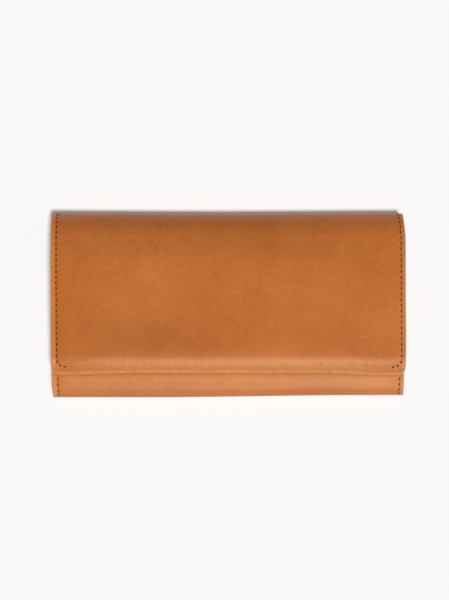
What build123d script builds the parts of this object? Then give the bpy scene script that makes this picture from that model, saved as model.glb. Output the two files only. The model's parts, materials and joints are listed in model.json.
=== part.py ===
from build123d import *
import math
import os

# A long flap wallet, lying on its back with the flap on top.
# Frame: +X along the wallet's width, +Y towards the top fold, +Z up through the thickness.
# Origin: the middle of the back panel's outer face. All sizes are in millimetres.
#
# The outer leather is one strip in the real wallet. Walked anticlockwise in the YZ plane it is the
# front panel, the bottom fold, the back panel, the top fold and the flap. It is cut here where it bends,
# because each stretch turns with a different rigid body.

os.makedirs("parts", exist_ok=True)

# ---- driving dimensions ----
WALLET_WIDTH = 191.0  # over the flap
WALLET_HEIGHT = 99.2  # bottom fold to top fold
WALLET_DEPTH = 25.4  # back panel to flap, at the top fold
BOTTOM_DEPTH = 14.5  # over the bottom fold
MOUTH_Y = 32.0  # the front panel's free edge
MOUTH_MARGIN = 0.8  # how far the front lining stops short of that edge
POCKET_MOUTH_Y = 27.0  # the coin pocket's mouth

LEATHER = 1.2  # outer leather
LINING = 0.4  # twill lining, coin pocket walls and card leaves
GUSSET = 0.6  # gusset leather and the spine's inner leather
FLAP_GAP = 0.3  # room for the stiffener between the flap's two layers
THREAD = 0.3  # how high a stitch stands on the leather
SEAM_END = 1.0  # from the end of a stretch of leather to its first stitch
FOLD_SEAM_END = 0.5  # the same on the top fold's short stretches
STITCH_PITCH = 3.05
STITCH_LENGTH = 2.1
STITCH_WIDTH = 0.55
SEAM_INSET = 3.0  # from the leather's side edge to the stitch line
JOINT_GAP = 0.05  # clearance on each side of a plane between two rigid stretches

# ---- derived outline ----
HALF_HEIGHT = WALLET_HEIGHT / 2
TOP_RADIUS = WALLET_DEPTH / 2
BOTTOM_RADIUS = BOTTOM_DEPTH / 2
TOP_CENTRE_Y = HALF_HEIGHT - TOP_RADIUS
BOTTOM_CENTRE_Y = -HALF_HEIGHT + BOTTOM_RADIUS
FRONT_SLOPE = 5.8  # degrees that the front panel rises towards its mouth
FLAP_THICKNESS = 2 * LEATHER + FLAP_GAP
FLAP_HALF = WALLET_WIDTH / 2
SPINE_HALF = FLAP_HALF - 0.2
BACK_HALF = FLAP_HALF - 0.3
FRONT_HALF = FLAP_HALF - 0.4
FLAP_CORNER = 5.5  # plan radius of the flap's lower corners
HINGE_STEP = 60.0  # degrees that each of the top fold's three hinges turns
FLAP_LEVEL = 6.0  # the flap's level run, next to the top fold
DOME_RADIUS = 400.0  # of the slow curve after it, until the flap is parallel to the front panel
FLAP_RUN = 17.4  # the straight run after the dome, with the snap under it
ROLL_RADIUS = 13.0  # of the bend that drops the flap's edge to the front panel
ROLL_ANGLE = 17.0  # degrees
TIP_RUN = 6.4  # the straight run from that bend to the tip


class Strip:
    """A chain of straight runs and tangent bends in the YZ plane, walked with its inside on the left."""

    def __init__(self, start, heading, moves):
        """moves holds (length, radius) pairs: radius 0 is a straight run, and above 0 a bend to the left."""
        self.start, self.heading, self.moves = start, heading, moves
        self.length = sum(length for length, _ in moves)

    @staticmethod
    def step(point, heading, length, radius, depth=0.0):
        """The point and heading after one move, for a line that lies depth to the left of the strip."""
        y, z = point
        if radius == 0:
            a = math.radians(heading)
            return (y + length * math.cos(a), z + length * math.sin(a)), heading
        a0 = math.radians(heading - 90)
        a1 = a0 + length / radius
        r = radius - depth
        centre = (y - r * math.cos(a0), z - r * math.sin(a0))
        return (centre[0] + r * math.cos(a1), centre[1] + r * math.sin(a1)), math.degrees(a1) + 90

    def at(self, s, depth=0.0):
        """The point (y, z) at arc length s, depth to the left of the strip, and the heading there."""
        point, heading = self.start, self.heading
        for length, radius in self.moves:
            here = min(length, s)
            point, heading = self.step(point, heading, here, radius)
            s -= here
            if s <= 0:
                break
        a = math.radians(heading + 90)
        return (point[0] + depth * math.cos(a), point[1] + depth * math.sin(a)), heading

    def part(self, s0, s1):
        """The stretch of this strip between two arc lengths."""
        point, heading = self.at(s0)
        moves, walked = [], 0.0
        for length, radius in self.moves:
            low, high = max(s0, walked), min(s1, walked + length)
            if high - low > 1e-6:
                moves.append((high - low, radius))
            walked += length
        return Strip(point, heading, moves)

    def edges(self, depth):
        """The strip's edges at a depth to its left."""
        point, heading = self.at(0, depth)
        found = []
        for length, radius in self.moves:
            middle, _ = self.step(point, heading, length / 2, radius, depth)
            end, turned = self.step(point, heading, length, radius, depth)
            if radius == 0:
                found.append(Line((0, *point), (0, *end)))
            else:
                found.append(ThreePointArc((0, *point), (0, *middle), (0, *end)))
            point, heading = end, turned
        return found

    def band(self, depth0, depth1):
        """The flat face between two depths."""
        outer, inner = self.edges(depth0), self.edges(depth1)
        caps = [Line(outer[0] @ 0, inner[0] @ 0), Line(outer[-1] @ 1, inner[-1] @ 1)]
        return Face(Wire([*outer, *inner, *caps]))

    def sheet(self, depth0, depth1, half_width):
        """The band as a solid, from -half_width to half_width along X."""
        return extrude(self.band(depth0, depth1), amount=half_width, dir=(1, 0, 0), both=True)


def arc_length(radius, degrees):
    return radius * math.radians(degrees)


def make_outer_strip():
    """The grain side of the whole outer leather, from the front panel's mouth to the flap's tip."""
    a = math.radians(90 + FRONT_SLOPE)
    tangent_y = BOTTOM_CENTRE_Y + BOTTOM_RADIUS * math.cos(a)
    tangent_z = BOTTOM_RADIUS + BOTTOM_RADIUS * math.sin(a)
    slope = math.radians(FRONT_SLOPE)
    run = (MOUTH_Y - tangent_y) / math.cos(slope)
    mouth = (MOUTH_Y, tangent_z + run * math.sin(slope))
    moves = [
        (run, 0),
        (arc_length(BOTTOM_RADIUS, 180 - FRONT_SLOPE), BOTTOM_RADIUS),
        (TOP_CENTRE_Y - BOTTOM_CENTRE_Y, 0),
        (arc_length(TOP_RADIUS, 180), TOP_RADIUS),
        (FLAP_LEVEL, 0),
        (arc_length(DOME_RADIUS, FRONT_SLOPE), DOME_RADIUS),
        (FLAP_RUN, 0),
        (arc_length(ROLL_RADIUS, ROLL_ANGLE), ROLL_RADIUS),
        (TIP_RUN, 0),
    ]
    return Strip(mouth, 180 + FRONT_SLOPE, moves)


OUTER = make_outer_strip()
FRONT_RUN = OUTER.moves[0][0]
S_BOTTOM = FRONT_RUN + arc_length(BOTTOM_RADIUS, 90 - FRONT_SLOPE)  # the bottom fold's outermost line
S_BACK = FRONT_RUN + OUTER.moves[1][0]  # where the back panel starts
S_FOLD = S_BACK + OUTER.moves[2][0]  # where the top fold starts
S_HINGES = [S_FOLD + arc_length(TOP_RADIUS, 90 + a) for a in (-HINGE_STEP, 0, HINGE_STEP)]
S_FLAP = S_FOLD + OUTER.moves[3][0]  # where the flap leaves the top fold
SNAP_Y = -18.0
SNAP_GAP = 2.82  # from the front panel to the flap's inner face, at the snap
BOTTOM_PIVOT = (-HALF_HEIGHT - JOINT_GAP, BOTTOM_RADIUS)  # YZ of the accordion's axis
POCKET_TILT = 2.66  # degrees that the coin pocket's middle plane rises towards its mouth


def x_slab(x0, x1):
    """Everything between two planes across X, as far as the wallet reaches."""
    reach = 2 * WALLET_WIDTH
    return Pos((x0 + x1) / 2, 0, 0) * Box(x1 - x0, reach, reach)


def on_strip(strip, s, depth, x):
    """A place on the strip whose Z axis points out of the grain side and whose Y axis runs along it."""
    (y, z), heading = strip.at(s, depth)
    a = math.radians(heading)
    along, out = (0, math.cos(a), math.sin(a)), (0, math.sin(a), -math.cos(a))
    across = Vector(*along).cross(Vector(*out))
    return Plane(origin=(x, y, z), x_dir=across, z_dir=out)


def stitch(place, turn=0.0, sunk=0.0):
    """One stitch of thread lying on a place on the leather."""
    body = Box(STITCH_WIDTH, STITCH_LENGTH, THREAD, align=(Align.CENTER, Align.CENTER, Align.MIN))
    return place * (Pos(0, 0, -sunk) * Rot(0, 0, turn) * body)


def seam(s0, s1, half_width, sunk=0.0):
    """The stitches along both side edges, between two arc lengths."""
    count = int((s1 - s0) / STITCH_PITCH)
    first = s0 + (s1 - s0 - (count - 1) * STITCH_PITCH) / 2
    found = []
    for n in range(count):
        for x in (-half_width + SEAM_INSET, half_width - SEAM_INSET):
            found.append(stitch(on_strip(OUTER, first + n * STITCH_PITCH, 0, x), 0, sunk))
    return Compound(children=found)


def save(shape, name):
    solids = shape.solids()
    export_step(solids[0] if len(solids) == 1 else Compound(children=solids), f"parts/{name}.step")


# ---- the outer leather, its linings and its threads ----
def back_panel():
    """The back panel with half of the bottom fold and the first sixth of the top fold."""
    stretch = OUTER.part(S_BOTTOM + JOINT_GAP, S_HINGES[0] - JOINT_GAP)
    shell = stretch.sheet(0, LEATHER, BACK_HALF)
    skin = stretch.sheet(0, THREAD, BACK_HALF)
    for side in (-1, 1):
        groove_x = side * (BACK_HALF - SEAM_INSET)
        shell -= skin & x_slab(groove_x - STITCH_WIDTH / 2, groove_x + STITCH_WIDTH / 2)
    save(shell, "back_shell")
    lining = OUTER.part(S_BACK, S_HINGES[0] - JOINT_GAP).sheet(LEATHER, LEATHER + LINING, BACK_HALF)
    save(lining, "back_lining")
    save(seam(S_BOTTOM + SEAM_END, S_HINGES[0] - SEAM_END, BACK_HALF, THREAD), "back_threads")


def spine():
    """The two middle thirds of the top fold, each with its inner leather and threads."""
    for name, s0, s1 in (("lower", S_HINGES[0], S_HINGES[1]), ("upper", S_HINGES[1], S_HINGES[2])):
        stretch = OUTER.part(s0 + JOINT_GAP, s1 - JOINT_GAP)
        save(stretch.sheet(0, LEATHER, SPINE_HALF), f"spine_shell_{name}")
        save(stretch.sheet(LEATHER, LEATHER + GUSSET, SPINE_HALF), f"spine_lining_{name}")
        save(seam(s0 + FOLD_SEAM_END, s1 - FOLD_SEAM_END, SPINE_HALF), f"spine_threads_{name}")


def front_panel(cutters):
    """The front panel with its half of the bottom fold. cutters are the snap's prongs and washer seat."""
    stretch = OUTER.part(0, S_BOTTOM - JOINT_GAP)
    shell = stretch.sheet(0, LEATHER, FRONT_HALF)
    lining = OUTER.part(MOUTH_MARGIN, FRONT_RUN).sheet(LEATHER, LEATHER + LINING, FRONT_HALF)
    for cutter in cutters:
        shell -= cutter
        lining -= cutter
    save(shell, "front_shell")
    save(lining, "front_lining")
    save(seam(2 * SEAM_END, S_BOTTOM - SEAM_END, FRONT_HALF), "front_threads")


FLAP_END = OUTER.length
CORNER_PITCH = 2.6  # the corner stitches are a little closer together
CORNER_RADIUS = 4.2  # of the stitch line round each lower corner
CORNER_STITCHES = 4
CORNER_START = 7.6  # how far before the tip the stitch line turns in
FIRST_CORNER_STITCH = 0.6  # pitches from that turn to the first corner stitch
STIFFENER_ROOM = (2.0, 1.0, 6.0)  # the room's margins: at the top fold, at the tip, and at each side
STIFFENER_EDGE = (4.0, 2.0, 8.0)  # the stiffener's margins


def flap_outline():
    """A tall block with the flap's plan outline, to round its lower corners."""
    (tip_y, _), _ = OUTER.at(FLAP_END)
    tip_y -= FLAP_THICKNESS / 2
    depth = 2 * HALF_HEIGHT
    block = Pos(0, tip_y + depth / 2, WALLET_DEPTH / 2) * Box(WALLET_WIDTH, depth, 2 * WALLET_DEPTH)
    corners = block.edges().filter_by(Axis.Z).group_by(Axis.Y)[0]
    return fillet(corners, FLAP_CORNER)


def flap_threads():
    """The side seams and the three stitches that turn in at each lower corner."""
    turn_start = FLAP_END - CORNER_START
    found = list(seam(S_HINGES[2] + FOLD_SEAM_END, turn_start, FLAP_HALF).solids())
    for side in (-1, 1):
        edge = FLAP_HALF - SEAM_INSET
        for n in range(CORNER_STITCHES):
            walked = (n + FIRST_CORNER_STITCH) * CORNER_PITCH
            a = min(walked / CORNER_RADIUS, math.pi / 2)
            beyond = max(walked - CORNER_RADIUS * math.pi / 2, 0)
            x = side * (edge - CORNER_RADIUS * (1 - math.cos(a)) - beyond)
            s = turn_start + CORNER_RADIUS * math.sin(a)
            found.append(stitch(on_strip(OUTER, s, 0, x), side * math.degrees(a)))
    return Compound(children=found)


def flap(cutters):
    """The flap: one leather folded back at its tip, with a stiffener between the layers."""
    stretch = OUTER.part(S_HINGES[2] + JOINT_GAP, FLAP_END)
    body = stretch.sheet(0, FLAP_THICKNESS, FLAP_HALF)
    (y, z), heading = OUTER.at(FLAP_END, FLAP_THICKNESS / 2)
    hem = Pos(0, y, z) * Rot(0, 90, 0) * Cylinder(FLAP_THICKNESS / 2, 2 * FLAP_HALF)
    body = (body + hem) & flap_outline()
    room, stiffener = (
        OUTER.part(S_FLAP + top, FLAP_END - tip).sheet(LEATHER, LEATHER + FLAP_GAP, FLAP_HALF - side)
        for top, tip, side in (STIFFENER_ROOM, STIFFENER_EDGE)
    )
    body -= room
    for cutter in cutters["leather"]:
        body -= cutter
    save(body, "flap_shell")
    save(stiffener - cutters["washer"], "flap_stiffener")
    save(flap_threads(), "flap_threads")


# ---- the magnetic snap ----
SNAP_RADIUS = 7.25
CUP_HEIGHT = 1.9  # the socket's cup, over the front panel
CUP_FLOOR = 0.3
MAGNET = (3.0, 6.5, 1.3)  # inner and outer radius, and height
HOLE_RADIUS = 2.35  # the hole that the stud drops into
STUD_RADIUS = 1.85
STUD_HEIGHT = 1.4
DISC_HEIGHT = 0.8  # the stud's base plate
RIM_ROUND = 0.5  # on the cup's rim and on the stud's edges
WASHER_RADIUS = 6.0
WASHER_HOLE = 1.5
WASHER_THICKNESS = 0.3
PRONG = (0.5, 2.5)  # thickness and width
PRONG_X = 4.5
SEAT_CLEARANCE = 0.1  # round the washer that lies in the flap's stiffener


def s_of_y(s0, s1, y, depth=0.0):
    """The arc length between s0 and s1 at which the line depth inside the outer strip passes y."""
    rising = OUTER.at(s1, depth)[0][0] > OUTER.at(s0, depth)[0][0]
    for _ in range(50):
        middle = (s0 + s1) / 2
        if (OUTER.at(middle, depth)[0][0] < y) == rising:
            s0 = middle
        else:
            s1 = middle
    return s0


def disc(radius, z0, z1):
    return Pos(0, 0, z0) * Cylinder(radius, z1 - z0, align=(Align.CENTER, Align.CENTER, Align.MIN))


def prongs(z0, z1):
    """The two legs that go through the leather, between two heights."""
    leg = Box(*PRONG, z1 - z0, align=(Align.CENTER, Align.CENTER, Align.MIN))
    return [Pos(side * PRONG_X, 0, z0) * leg for side in (-1, 1)]


def snap_washer(legs):
    """The ring behind the leather that the legs are bent over."""
    ring = disc(WASHER_RADIUS, -LEATHER - WASHER_THICKNESS, -LEATHER)
    ring -= disc(WASHER_HOLE, -LEATHER - WASHER_THICKNESS, -LEATHER)
    return ring.cut(*legs)


def snap():
    """Both halves of the snap. Returns the cutters that the front panel and the flap need."""
    legs = prongs(-LEATHER - WASHER_THICKNESS, CUP_FLOOR / 2)
    seat = (-LEATHER - WASHER_THICKNESS, -LEATHER)

    front = on_strip(OUTER, s_of_y(0, FRONT_RUN, SNAP_Y), 0, 0)
    inner_radius, outer_radius, height = MAGNET
    magnet_top = CUP_FLOOR + height
    magnet = disc(outer_radius, CUP_FLOOR, magnet_top) - disc(inner_radius, CUP_FLOOR, magnet_top)
    cup = disc(SNAP_RADIUS, 0, CUP_HEIGHT) - disc(HOLE_RADIUS, CUP_FLOOR, CUP_HEIGHT)
    cup = fillet(cup.edges().group_by(Axis.Z)[-1].sort_by(SortBy.RADIUS)[-1], RIM_ROUND)
    cup -= magnet
    save(front * magnet, "snap_magnet")
    save(front * cup.fuse(*legs), "snap_socket")
    save(front * snap_washer(legs), "snap_socket_washer")
    front_cutters = [front * disc(WASHER_RADIUS, *seat), *[front * leg for leg in legs]]

    # The stud stands on the flap's inner face, square above the cup.
    tilt = math.radians(FRONT_SLOPE)
    stud_y = SNAP_Y - SNAP_GAP * math.sin(tilt)
    facing = on_strip(OUTER, s_of_y(S_FLAP, FLAP_END, stud_y, FLAP_THICKNESS), FLAP_THICKNESS, 0)
    inner = Plane(origin=facing.origin, x_dir=facing.x_dir, z_dir=-facing.z_dir)
    stud = disc(SNAP_RADIUS, 0, DISC_HEIGHT) + disc(STUD_RADIUS, 0, DISC_HEIGHT + STUD_HEIGHT)
    stud = fillet(stud.edges().group_by(Axis.Z)[-1], RIM_ROUND)
    save(inner * stud.fuse(*legs), "snap_stud")
    save(inner * snap_washer(legs), "snap_stud_washer")
    seat_cutter = inner * disc(WASHER_RADIUS + SEAT_CLEARANCE, *seat)
    return front_cutters, {"leather": [inner * leg for leg in legs], "washer": seat_cutter}


# ---- the coin pocket, modelled with its middle plane level, then tilted ----
POCKET_HALF = 93.0
MOUTH_CUT = 1.0  # how far the hollow's cutter runs past the mouth
POCKET_BOTTOM_Y = -41.0
POCKET_HALF_DEPTH = (1.5, 3.4)  # at the bottom and at the mouth
MIDDLE_Z = BOTTOM_RADIUS
CARD_TOPS = {"upper": 24.0, "lower": 6.0}  # where the card leaves' mouths are
CARD_BOTTOM_Y = -40.0


def tilted(shape):
    """Turns a level coin pocket piece to where it lies."""
    y, z = BOTTOM_PIVOT
    return Pos(0, y, z) * Rot(POCKET_TILT, 0, 0) * Pos(0, -y, -z) * shape


def half_depth(y):
    """Half of the level pocket's thickness at y."""
    share = (y - POCKET_BOTTOM_Y) / (POCKET_MOUTH_Y - POCKET_BOTTOM_Y)
    return POCKET_HALF_DEPTH[0] + share * (POCKET_HALF_DEPTH[1] - POCKET_HALF_DEPTH[0])


def prism(points, half_width):
    """A solid along X from a polygon of (y, z) points."""
    face = Face(Wire.make_polygon([(0, y, z) for y, z in points]))
    return extrude(face, amount=half_width, dir=(1, 0, 0), both=True)


def wedge(y0, y1, inset, half_width):
    """The pocket's outline between two places, inset from its walls."""
    d0, d1 = half_depth(y0) - inset, half_depth(y1) - inset
    points = [(y0, MIDDLE_Z - d0), (y1, MIDDLE_Z - d1), (y1, MIDDLE_Z + d1), (y0, MIDDLE_Z + d0)]
    return prism(points, half_width)


def front_leaf(top, lift):
    """A card leaf on the pocket's front wall, lifted off the wall."""
    corners = ((CARD_BOTTOM_Y, lift), (top, lift), (top, lift + LINING), (CARD_BOTTOM_Y, lift + LINING))
    return prism([(y, MIDDLE_Z + half_depth(y) + d) for y, d in corners], POCKET_HALF)


def pocket_bag():
    """The twill bag with its mouth open, and the card leaves sewn to its front wall."""
    bag = wedge(POCKET_BOTTOM_Y, POCKET_MOUTH_Y, 0, POCKET_HALF)
    bag -= wedge(POCKET_BOTTOM_Y + LINING, POCKET_MOUTH_Y + MOUTH_CUT, LINING, POCKET_HALF - LINING)
    save(tilted(bag), "coin_pocket_bag")
    for n, (name, top) in enumerate(CARD_TOPS.items()):
        save(tilted(front_leaf(top, n * LINING)), f"front_card_leaf_{name}")


def back_card_leaves():
    """The two card leaves sewn over the back lining."""
    for n, (name, top) in enumerate(CARD_TOPS.items()):
        z0 = LEATHER + (n + 1) * LINING
        points = [(CARD_BOTTOM_Y, z0), (top, z0), (top, z0 + LINING), (CARD_BOTTOM_Y, z0 + LINING)]
        save(prism(points, POCKET_HALF), f"back_card_leaf_{name}")


# ---- the zip ----
ZIP_PLANE = POCKET_MOUTH_Y + 0.4  # the tapes' outer face
TAPE = 0.4
TAPE_DEPTH = 6.0  # how far the tapes reach into the pocket
TAPE_TAIL = 8.0  # how far they run on past the chain
TOOTH = (1.0, 1.4, 1.45)  # along X, across the tape, out of the tape's edge
TOOTH_PITCH = 2.0
CHAIN_GAP = 0.8  # between the two rows, where the slider's wedge passes
CHAIN_HALF = 76.0
STOP = (1.8, 1.6)  # along X and across the tape
STOP_GAP = 1.5  # past the end of the teeth
SLIDER_X = -70.0  # at the closed end; the slider opens the zip by travelling 140 to +X
SLIDER_LENGTH = 8.0
SLIDER_HALF_WIDTH = 2.35
TEETH_MIDDLE_Y = ZIP_PLANE - TAPE / 2
PLATE = 0.7
PLATE_GAP = TOOTH[1] / 2 + 0.3  # from the teeth's middle plane to each plate's inner face
PLATE_Y = (TEETH_MIDDLE_Y - PLATE_GAP, TEETH_MIDDLE_Y + PLATE_GAP)
WEDGE = (2.5, 0.5)  # along X and across the chain
LIP = (0.55, 0.4)  # towards the other plate, and across the chain
CROWN = (4.8, 1.6, 0.8, 1.2)  # along X, out of the plate, the post's length along X, across the chain
CROWN_ROOF = 0.5
PULL_AXIS_Y = PLATE_Y[1] + PLATE + (CROWN[1] - CROWN_ROOF) / 2
BAR_RADIUS = 0.4
ARM_Z = (0.9, 2.0)  # each arm's sides, across the chain
ARM_LENGTH = 4.4
TAB = (10.0, 4.4)
TAB_THICKNESS = 0.8
TAB_ROUND = 2.0


def zip_tape(sign):
    """One tape: sewn inside its wall, turned over the wall's edge and across the mouth."""
    y0, y1 = POCKET_MOUTH_Y - TAPE_DEPTH, POCKET_MOUTH_Y
    wall0, wall1 = half_depth(y0) - LINING, half_depth(y1) - LINING
    edge = CHAIN_GAP / 2 + TOOTH[2]
    offsets = [
        (y0, wall0), (y1, wall1), (y1, half_depth(y1)), (ZIP_PLANE, half_depth(y1)),
        (ZIP_PLANE, edge), (y1, edge), (y1, wall1 - TAPE), (y0, wall0 - TAPE),
    ]
    return prism([(y, MIDDLE_Z + sign * d) for y, d in offsets], CHAIN_HALF + TAPE_TAIL)


def zip_teeth(sign):
    """One row of teeth along its tape's edge."""
    count = int(2 * CHAIN_HALF / TOOTH_PITCH) - 1
    z = MIDDLE_Z + sign * (CHAIN_GAP / 2 + TOOTH[2] / 2)
    first = -CHAIN_HALF + TOOTH_PITCH * (0.5 if sign > 0 else 1.0)  # the rows are half a pitch apart
    places = [Pos(first + n * TOOTH_PITCH, TEETH_MIDDLE_Y, z) for n in range(count)]
    return Compound(children=[place * Box(*TOOTH) for place in places])


def zip_stops():
    """Two top stops past the closed end and one bottom stop across both rows."""
    x = CHAIN_HALF + STOP_GAP
    found = []
    for sign in (-1, 1):
        z = MIDDLE_Z + sign * (CHAIN_GAP / 2 + TOOTH[2] / 2)
        found.append(Pos(-x, TEETH_MIDDLE_Y, z) * Box(*STOP, TOOTH[2]))
    found.append(Pos(x, TEETH_MIDDLE_Y, MIDDLE_Z) * Box(*STOP, CHAIN_GAP + 2 * TOOTH[2]))
    return Compound(children=found)


def zip_slider():
    """Two plates joined by a wedge at the leading end, with lips beside the teeth and a crown on top."""
    wide = 2 * SLIDER_HALF_WIDTH
    body = Pos(0, PLATE_Y[1] + PLATE / 2, MIDDLE_Z) * Box(SLIDER_LENGTH, PLATE, wide)
    body += Pos(0, PLATE_Y[0] - PLATE / 2, MIDDLE_Z) * Box(SLIDER_LENGTH, PLATE, wide)
    wedge_x = (WEDGE[0] - SLIDER_LENGTH) / 2
    body += Pos(wedge_x, TEETH_MIDDLE_Y, MIDDLE_Z) * Box(WEDGE[0], PLATE_Y[1] - PLATE_Y[0], WEDGE[1])
    for sign in (-1, 1):
        lip_z = MIDDLE_Z + sign * (SLIDER_HALF_WIDTH - LIP[1] / 2)
        body += Pos(0, PLATE_Y[1] - LIP[0] / 2, lip_z) * Box(SLIDER_LENGTH, *LIP)
        body += Pos(0, PLATE_Y[0] + LIP[0] / 2, lip_z) * Box(SLIDER_LENGTH, *LIP)
    for side in (-1, 1):
        post_x = side * (CROWN[0] - CROWN[2]) / 2
        body += Pos(post_x, PLATE_Y[1] + PLATE + CROWN[1] / 2, MIDDLE_Z) * Box(CROWN[2], CROWN[1], CROWN[3])
    roof_y = PLATE_Y[1] + PLATE + CROWN[1] - CROWN_ROOF / 2
    body += Pos(0, roof_y, MIDDLE_Z) * Box(CROWN[0], CROWN_ROOF, CROWN[3])
    return Pos(SLIDER_X, 0, 0) * body


def zip_pull():
    """A bar through the crown, two arms and a flat tab, lying towards +X."""
    pull = Pos(0, PULL_AXIS_Y, MIDDLE_Z) * Cylinder(BAR_RADIUS, ARM_Z[1] * 2)
    for sign in (-1, 1):
        arm_z = MIDDLE_Z + sign * (ARM_Z[0] + ARM_Z[1]) / 2
        arm = Box(ARM_LENGTH, TAB_THICKNESS, ARM_Z[1] - ARM_Z[0])
        pull += Pos(ARM_LENGTH / 2, PULL_AXIS_Y, arm_z) * arm
    tab = Pos(TAB[0] / 2 + ARM_LENGTH, PULL_AXIS_Y, MIDDLE_Z) * Box(TAB[0], TAB_THICKNESS, TAB[1])
    pull += fillet(tab.edges().filter_by(Axis.Y).group_by(Axis.X)[-1], TAB_ROUND)
    return Pos(SLIDER_X, 0, 0) * pull


def zipper():
    for name, sign in (("rear", -1), ("front", 1)):
        save(tilted(zip_tape(sign)), f"zip_tape_{name}")
        save(tilted(zip_teeth(sign)), f"zip_teeth_{name}")
    save(tilted(zip_stops()), "zip_stops")
    save(tilted(zip_slider()), "zip_slider")
    save(tilted(zip_pull()), "zip_pull")


# ---- the gussets ----
GUSSET_Y = (-40.0, 29.0)
GUSSET_VALLEY = 80.0  # X of the fold that points inwards
GUSSET_EDGE = 94.4  # X of the sewn edges
GUSSET_SEAM = 2.5  # width of the sewn edges
GUSSET_APEX = 2.6  # the leather's thickness along X at the fold
GUSSET_EASE = 0.02  # clearance to the panels it is sewn to


def pocket_surface(y, sign, lift):
    """The height at y of the tilted pocket's wall (sign -1 rear, 1 front), lifted off it."""
    pivot_y, pivot_z = BOTTOM_PIVOT
    a = math.radians(POCKET_TILT)
    points = []
    for level_y in (POCKET_BOTTOM_Y, POCKET_MOUTH_Y):
        dy, dz = level_y - pivot_y, MIDDLE_Z + sign * (half_depth(level_y) + lift) - pivot_z
        turned_y = pivot_y + dy * math.cos(a) - dz * math.sin(a)
        points.append((turned_y, pivot_z + dy * math.sin(a) + dz * math.cos(a)))
    (y0, z0), (y1, z1) = points
    return z0 + (z1 - z0) * (y - y0) / (y1 - y0)


def front_inner_surface(y):
    """The height of the front lining's inner face at y."""
    (y0, z0), _ = OUTER.at(0, LEATHER + LINING)
    return z0 - (y0 - y) * math.tan(math.radians(FRONT_SLOPE))


def gusset(side, low, high):
    """A V of leather between two surfaces, its valley pointing inwards. low and high give heights at y."""
    sections = []
    for y in GUSSET_Y:
        z0, z1 = low(y) + GUSSET_EASE, high(y) - GUSSET_EASE
        middle, bend = (z0 + z1) / 2, GUSSET_EDGE - GUSSET_SEAM
        points = [
            (GUSSET_EDGE, z0), (bend, z0), (GUSSET_VALLEY, middle), (bend, z1), (GUSSET_EDGE, z1),
            (GUSSET_EDGE, z1 - GUSSET), (bend, z1 - GUSSET), (GUSSET_VALLEY + GUSSET_APEX, middle),
            (bend, z0 + GUSSET), (GUSSET_EDGE, z0 + GUSSET),
        ]
        sections.append(Face(Wire.make_polygon([(side * x, y, z) for x, z in points])))
    return Solid.make_loft([face.outer_wire() for face in sections], ruled=True)


def gussets():
    back_leaves = LEATHER + 3 * LINING
    for name, side in (("left", -1), ("right", 1)):
        rear = gusset(side, lambda y: back_leaves, lambda y: pocket_surface(y, -1, 0))
        front = gusset(side, lambda y: pocket_surface(y, 1, 2 * LINING), front_inner_surface)
        save(rear, f"gusset_rear_{name}")
        save(front, f"gusset_front_{name}")


def main():
    front_cutters, flap_cutters = snap()
    back_panel()
    spine()
    front_panel(front_cutters)
    flap(flap_cutters)
    back_card_leaves()
    pocket_bag()
    zipper()
    gussets()
    for n, s in enumerate(S_HINGES):
        (y, z), _ = OUTER.at(s, -JOINT_GAP)
        print("top fold hinge", n, round(y, 4), round(z, 4))
    print("bottom fold hinge", BOTTOM_PIVOT)
    print("pull hinge", tilted(Pos(SLIDER_X, PULL_AXIS_Y, MIDDLE_Z)).position, "tilt", POCKET_TILT)


main()
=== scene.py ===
"""A long tan leather flap wallet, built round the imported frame: leather, threads, linings, zip and snap."""

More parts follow.
